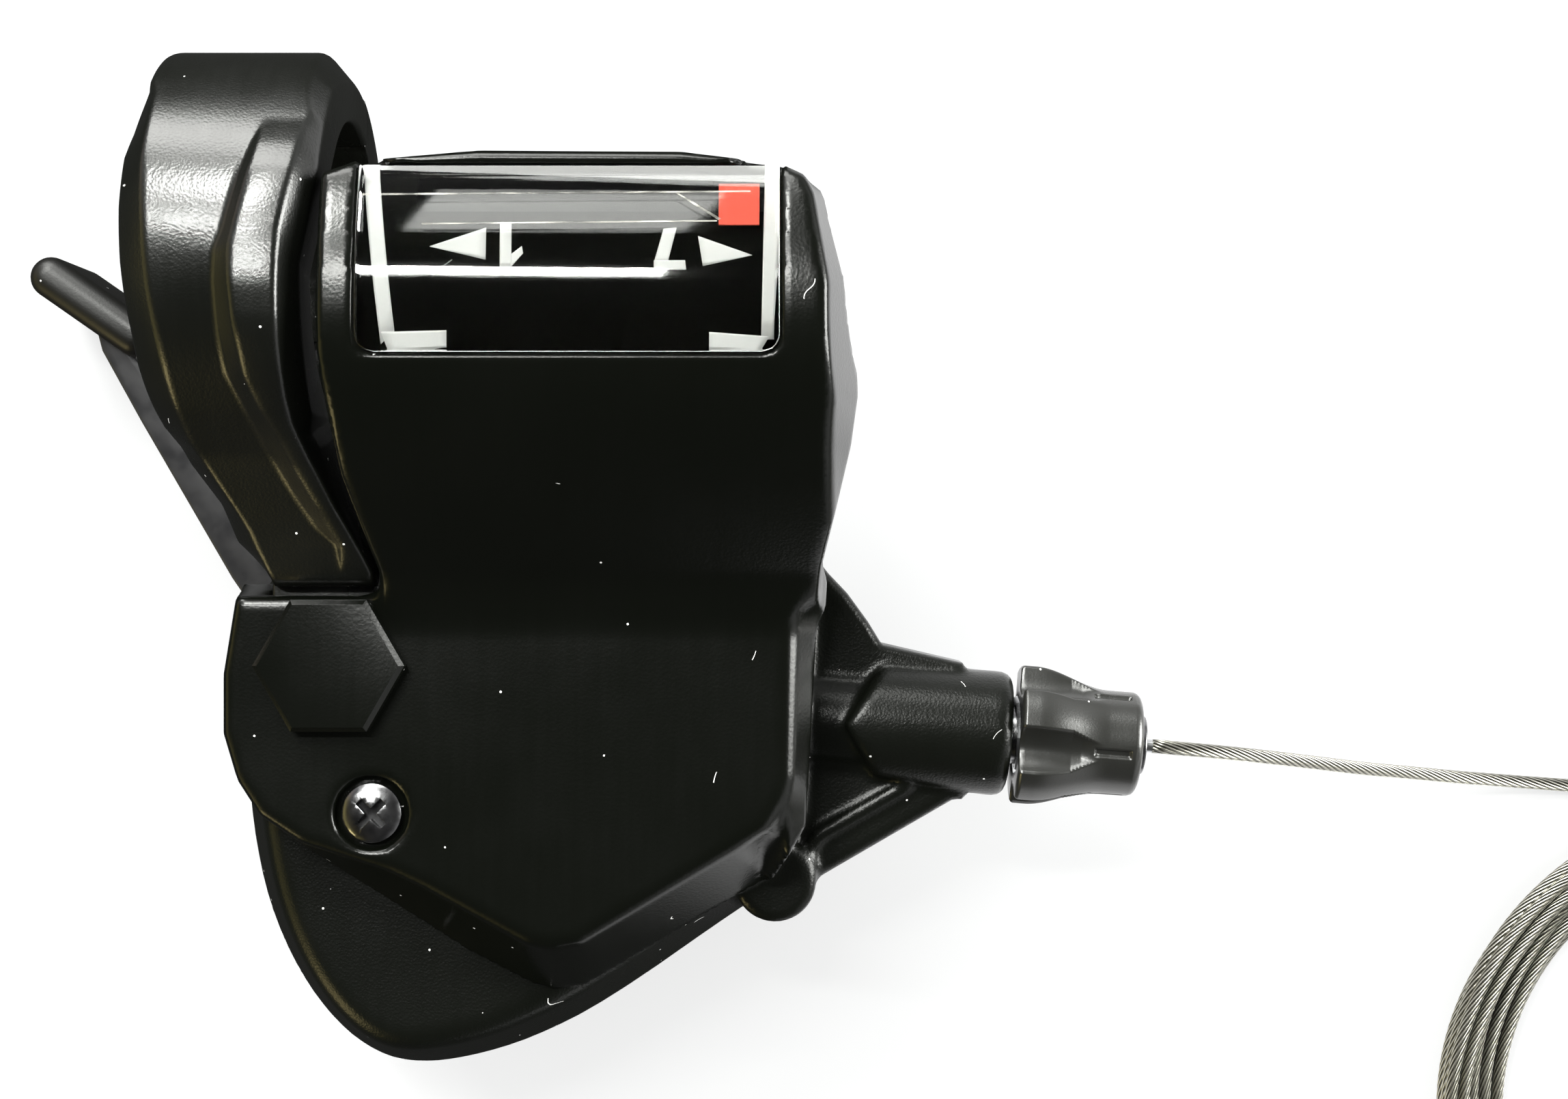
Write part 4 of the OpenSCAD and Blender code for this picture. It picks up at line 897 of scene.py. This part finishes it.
def knob_surface(rows=150, columns=300):
    """Fluted knob: the land's radius falls smoothly to the waist and is held under the end roundings; each
    flute takes away a scoop between land and floor, and past it a small slot; the last loops run back down
    the bore."""
    s = np.linspace(0, KNOB_LENGTH, rows)[:, None]
    a = np.linspace(0, 360, columns, endpoint=False)[None, :]
    off = (a - FLUTE_AT + 180 / FLUTES) % (360 / FLUTES) - 180 / FLUTES
    fall = np.clip((s - WAIST_START) / WAIST_FALL, 0, 1)
    land = LAND_R - (LAND_R - WAIST_R) * fall ** 2 * (3 - 2 * fall)
    edge, floor, half = (np.interp(s, *np.array(pairs).T) for pairs in (KNOB_EDGES, FLUTE_FLOOR, FLUTE_HALF))
    land = np.minimum(land, edge)
    scoop = np.clip(1 - (off / half) ** 2, 0, 1) ** 0.6
    slot = np.clip((SLOT_HALF - np.abs(off)) / SLOT_SIDE, 0, 1)
    slot = slot * np.clip((s - SLOT_SPAN[0]) / SLOT_END, 0, 1) * np.clip((SLOT_SPAN[1] - s) / SLOT_END, 0, 1)
    r = land - np.maximum(land - floor, 0) * scoop - SLOT_DEPTH * slot
    bore = np.array(KNOB_BORE)[:, :, None] * np.ones(columns)
    s = np.concatenate([np.broadcast_to(s, r.shape), bore[:, 0]])
    r = np.concatenate([r, bore[:, 1]])
    turned = np.radians(a)
    return on_cable(np.stack([r * np.cos(turned), r * np.sin(turned), KNOB_AT + s], axis=-1))


knob = surface("fluted_knob", knob_surface(), "barrel", "knob_plastic", ring=True)
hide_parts("barrel_knob")


# Marks printed on the dial, and edges of the film on the window with their painted glare, as patches between
# four plan corners
MARKS = [
    [(9.95, 5.6), (11.05, 5.6), (12.45, -5.94), (11.5, -6.83)],
    [(11.5, -6.0), (16.02, -5.88), (16.01, -7.05), (12.0, -7.25)],
    [(34.06, -6.0), (38.2, -6.3), (37.6, -7.25), (34.05, -7.1)],
    [(37.89, 5.6), (38.92, 5.6), (38.5, -6.5), (37.63, -6.52)],
    [(14.81, -0.15), (14.81, -0.13), (18.66, 1.18), (18.67, -1.06)],
    [(37.01, -0.74), (37.01, -0.76), (33.62, -1.5), (33.27, 0.59)],
    [(19.6, 1.5), (20.4, 1.5), (20.45, -1.6), (19.65, -1.6)],
    [(20.4, -1.6), (21.25, -0.62), (21.15, -0.12), (20.4, -0.7)],
    [(30.9, 1.1), (31.8, 1.18), (31.19, -1.3), (30.24, -1.3)],
    [(30.24, -1.1), (32.4, -1.1), (32.47, -1.75), (30.25, -1.75)],
]
FILM_GLARE_EDGES = [
    [(10.2, 3.5), (36.9, 3.72), (36.9, 3.6), (10.2, 3.38)],
    [(14.4, 1.4), (34.6, 1.6), (34.6, 1.5), (14.4, 1.28)],
    [(32.0, 3.5), (34.9, 1.7), (34.7, 1.6), (31.8, 3.5)],
]
PATCH_LIFT, PATCH_WALL = 0.03, 0.02


def laid_patches(name, patches, radius, steps, slot, material):
    """Bilinear patches between four plan corners each, laid just over the arch of a radius, as one mesh
    with a thin wall."""
    a, b, c, d = np.moveaxis(np.array(patches), 1, 0)[:, :, None, None]
    share = np.linspace(0, 1, steps)
    u, v = share[:, None, None], share[:, None]
    plan = (1 - u) * ((1 - v) * a + v * b) + u * ((1 - v) * d + v * c)
    points = np.concatenate([plan, arch_z(plan[..., 1:], radius + PATCH_LIFT)], axis=-1).reshape(-1, 3)
    starts = np.arange(len(patches)) * steps ** 2
    faces = (grid_quads(steps, steps)[None, :, ::-1] + starts[:, None, None]).reshape(-1, 4)
    piece = new_piece(name, points, faces.tolist(), "root", slot, material)
    wall = piece.modifiers.new("thin_wall", "SOLIDIFY")
    wall.thickness = PATCH_WALL * MM
    wall.offset = -1


laid_patches("printed_marks", MARKS, DIAL_R, 8, "dial_black", FINISH["printed_white"])
# film edges whose pale streaks are painted glare
laid_patches("film_glare_strips", FILM_GLARE_EDGES, ARCH_R, 24, "clear_window", film())


# Table, world and lamps
def table_top():
    """White table: the camera sees it white with a soft shadow, and reflections see a painted glow on it,
    bright on the right.
    """
    mesh = bpy.data.meshes.new("table_top")
    half, z = 900 * MM, (TABLE_Z - 0.02) * MM
    mesh.from_pydata([(-half, -half, z), (half, -half, z), (half, half, z), (-half, half, z)], [],
                     [(0, 1, 2, 3)])
    material, tree, shader = new_material("table_white")
    shader.inputs["Base Color"].default_value = (0.36, 0.365, 0.37, 1)
    shader.inputs["Roughness"].default_value = 0.6
    position = node(tree, "ShaderNodeNewGeometry").outputs["Position"]
    x = node(tree, "ShaderNodeSeparateXYZ", {"Vector": position}).outputs["X"]
    # painted pool of light: for glossy and transmission rays the table glows, brightest just right of the
    # part and dimmer beyond
    painted_glow = maths(tree, "MULTIPLY", eased(tree, x, 0.04, 0.058, 0.04, 1.5),
                eased(tree, x, 0.1, 0.125, 1.0, 0.3))
    rays = node(tree, "ShaderNodeLightPath").outputs
    bounced = maths(tree, "MAXIMUM", rays["Is Glossy Ray"], rays["Is Transmission Ray"])
    level = maths(tree, "ADD", rays["Is Camera Ray"], maths(tree, "MULTIPLY", bounced, painted_glow))
    glow = node(tree, "ShaderNodeEmission", {"Strength": level})
    seen = maths(tree, "ADD", maths(tree, "MULTIPLY", rays["Is Camera Ray"], 0.62), bounced)
    mix = node(tree, "ShaderNodeMixShader", {0: seen, 1: shader.outputs[0], 2: glow.outputs[0]})
    tree.links.new(mix.outputs[0], tree.nodes["Material Output"].inputs["Surface"])
    mesh.materials.append(material)
    top = bpy.data.objects.new("table_top", mesh)
    scene.collection.objects.link(top)


WARM = {"Red": 1.0, "Green": 0.85, "Blue": 0.32}


def studio_world():
    """Pale room for matt surfaces; in reflections it is dark overhead and towards -Y, pale to the right and
    to +Y, and a dim warm tone to the left. The camera sees it white."""
    world = bpy.data.worlds.new("pale_room")
    scene.world = world
    world.use_nodes = True
    tree = world.node_tree
    tree.nodes.remove(tree.nodes["Background"])
    way = node(tree, "ShaderNodeTexCoord").outputs["Generated"]
    look = node(tree, "ShaderNodeSeparateXYZ", {"Vector": way}).outputs
    overhead = eased(tree, look["Z"], 0.2, 0.78, 1.0, 0.0)
    front = eased(tree, look["Y"], -0.2, 0.6, 0.03, 0.7)
    right = eased(tree, look["X"], 0.15, 0.7, 0.0, 1.0)
    left = eased(tree, look["X"], -0.9, -0.2, 0.9, 0.0)
    pale = maths(tree, "MAXIMUM", front, right)
    channels = {channel: maths(tree, "MAXIMUM", pale, maths(tree, "MULTIPLY", left, share))
                for channel, share in WARM.items()}
    tone = node(tree, "ShaderNodeCombineColor", channels)
    rays = node(tree, "ShaderNodeLightPath").outputs
    matt = node(tree, "ShaderNodeBackground", Color=(1, 1, 1, 1), Strength=1.6)
    white = node(tree, "ShaderNodeBackground", Color=(1, 1, 1, 1), Strength=1.0)
    mirrored = node(tree, "ShaderNodeBackground", {"Color": tone.outputs[0], "Strength": overhead})
    mix = node(tree, "ShaderNodeMixShader",
               {0: rays["Is Glossy Ray"], 1: matt.outputs[0], 2: mirrored.outputs[0]})
    last = node(tree, "ShaderNodeMixShader",
                {0: rays["Is Camera Ray"], 1: mix.outputs[0], 2: white.outputs[0]})
    tree.links.new(last.outputs[0], tree.nodes["World Output"].inputs["Surface"])


def soft_lamp(name, at, aim, size, watts, color=(0.99, 1.0, 0.96)):
    """An area lamp at a place, turned so that its -Z looks at its aim."""
    data = bpy.data.lights.new(name, "AREA")
    data.shape = "RECTANGLE"
    data.size, data.size_y = size[0] * MM, size[1] * MM
    data.energy = watts
    data.color = color
    away = unit(np.subtract(at, aim))
    right = unit(np.cross([0.0, 1.0, 0.0], away))
    turned = mathutils.Matrix(np.stack([right, np.cross(away, right), away], axis=-1).tolist())
    lamp = bpy.data.objects.new(name, data)
    lamp.matrix_world = mathutils.Matrix.LocRotScale([MM * v for v in at], turned, None)
    scene.collection.objects.link(lamp)


table_top()
studio_world()
soft_lamp("ceiling_tube", (-160, 217, 600), (25, -2, 16), (330, 30), 4.2)
soft_lamp("ceiling_panel", (-216, 490, 600), (0, 4, 16), (140, 180), 6.5)
soft_lamp("dim_panel", (-46, 490, 600), (24, 2, 16), (110, 180), 0.3)
soft_lamp("front_panel", (-90, 430, 200), (0, 8, 14), (420, 180), 3.4)
soft_lamp("window_right", (450, 40, 90), (44, -10, 5), (260, 220), 4.5)
soft_lamp("window_left", (-340, -360, 70), (0, -20, 5), (260, 120), 0.4, color=(1.0, 0.82, 0.4))

scene.view_settings.view_transform = "Standard"
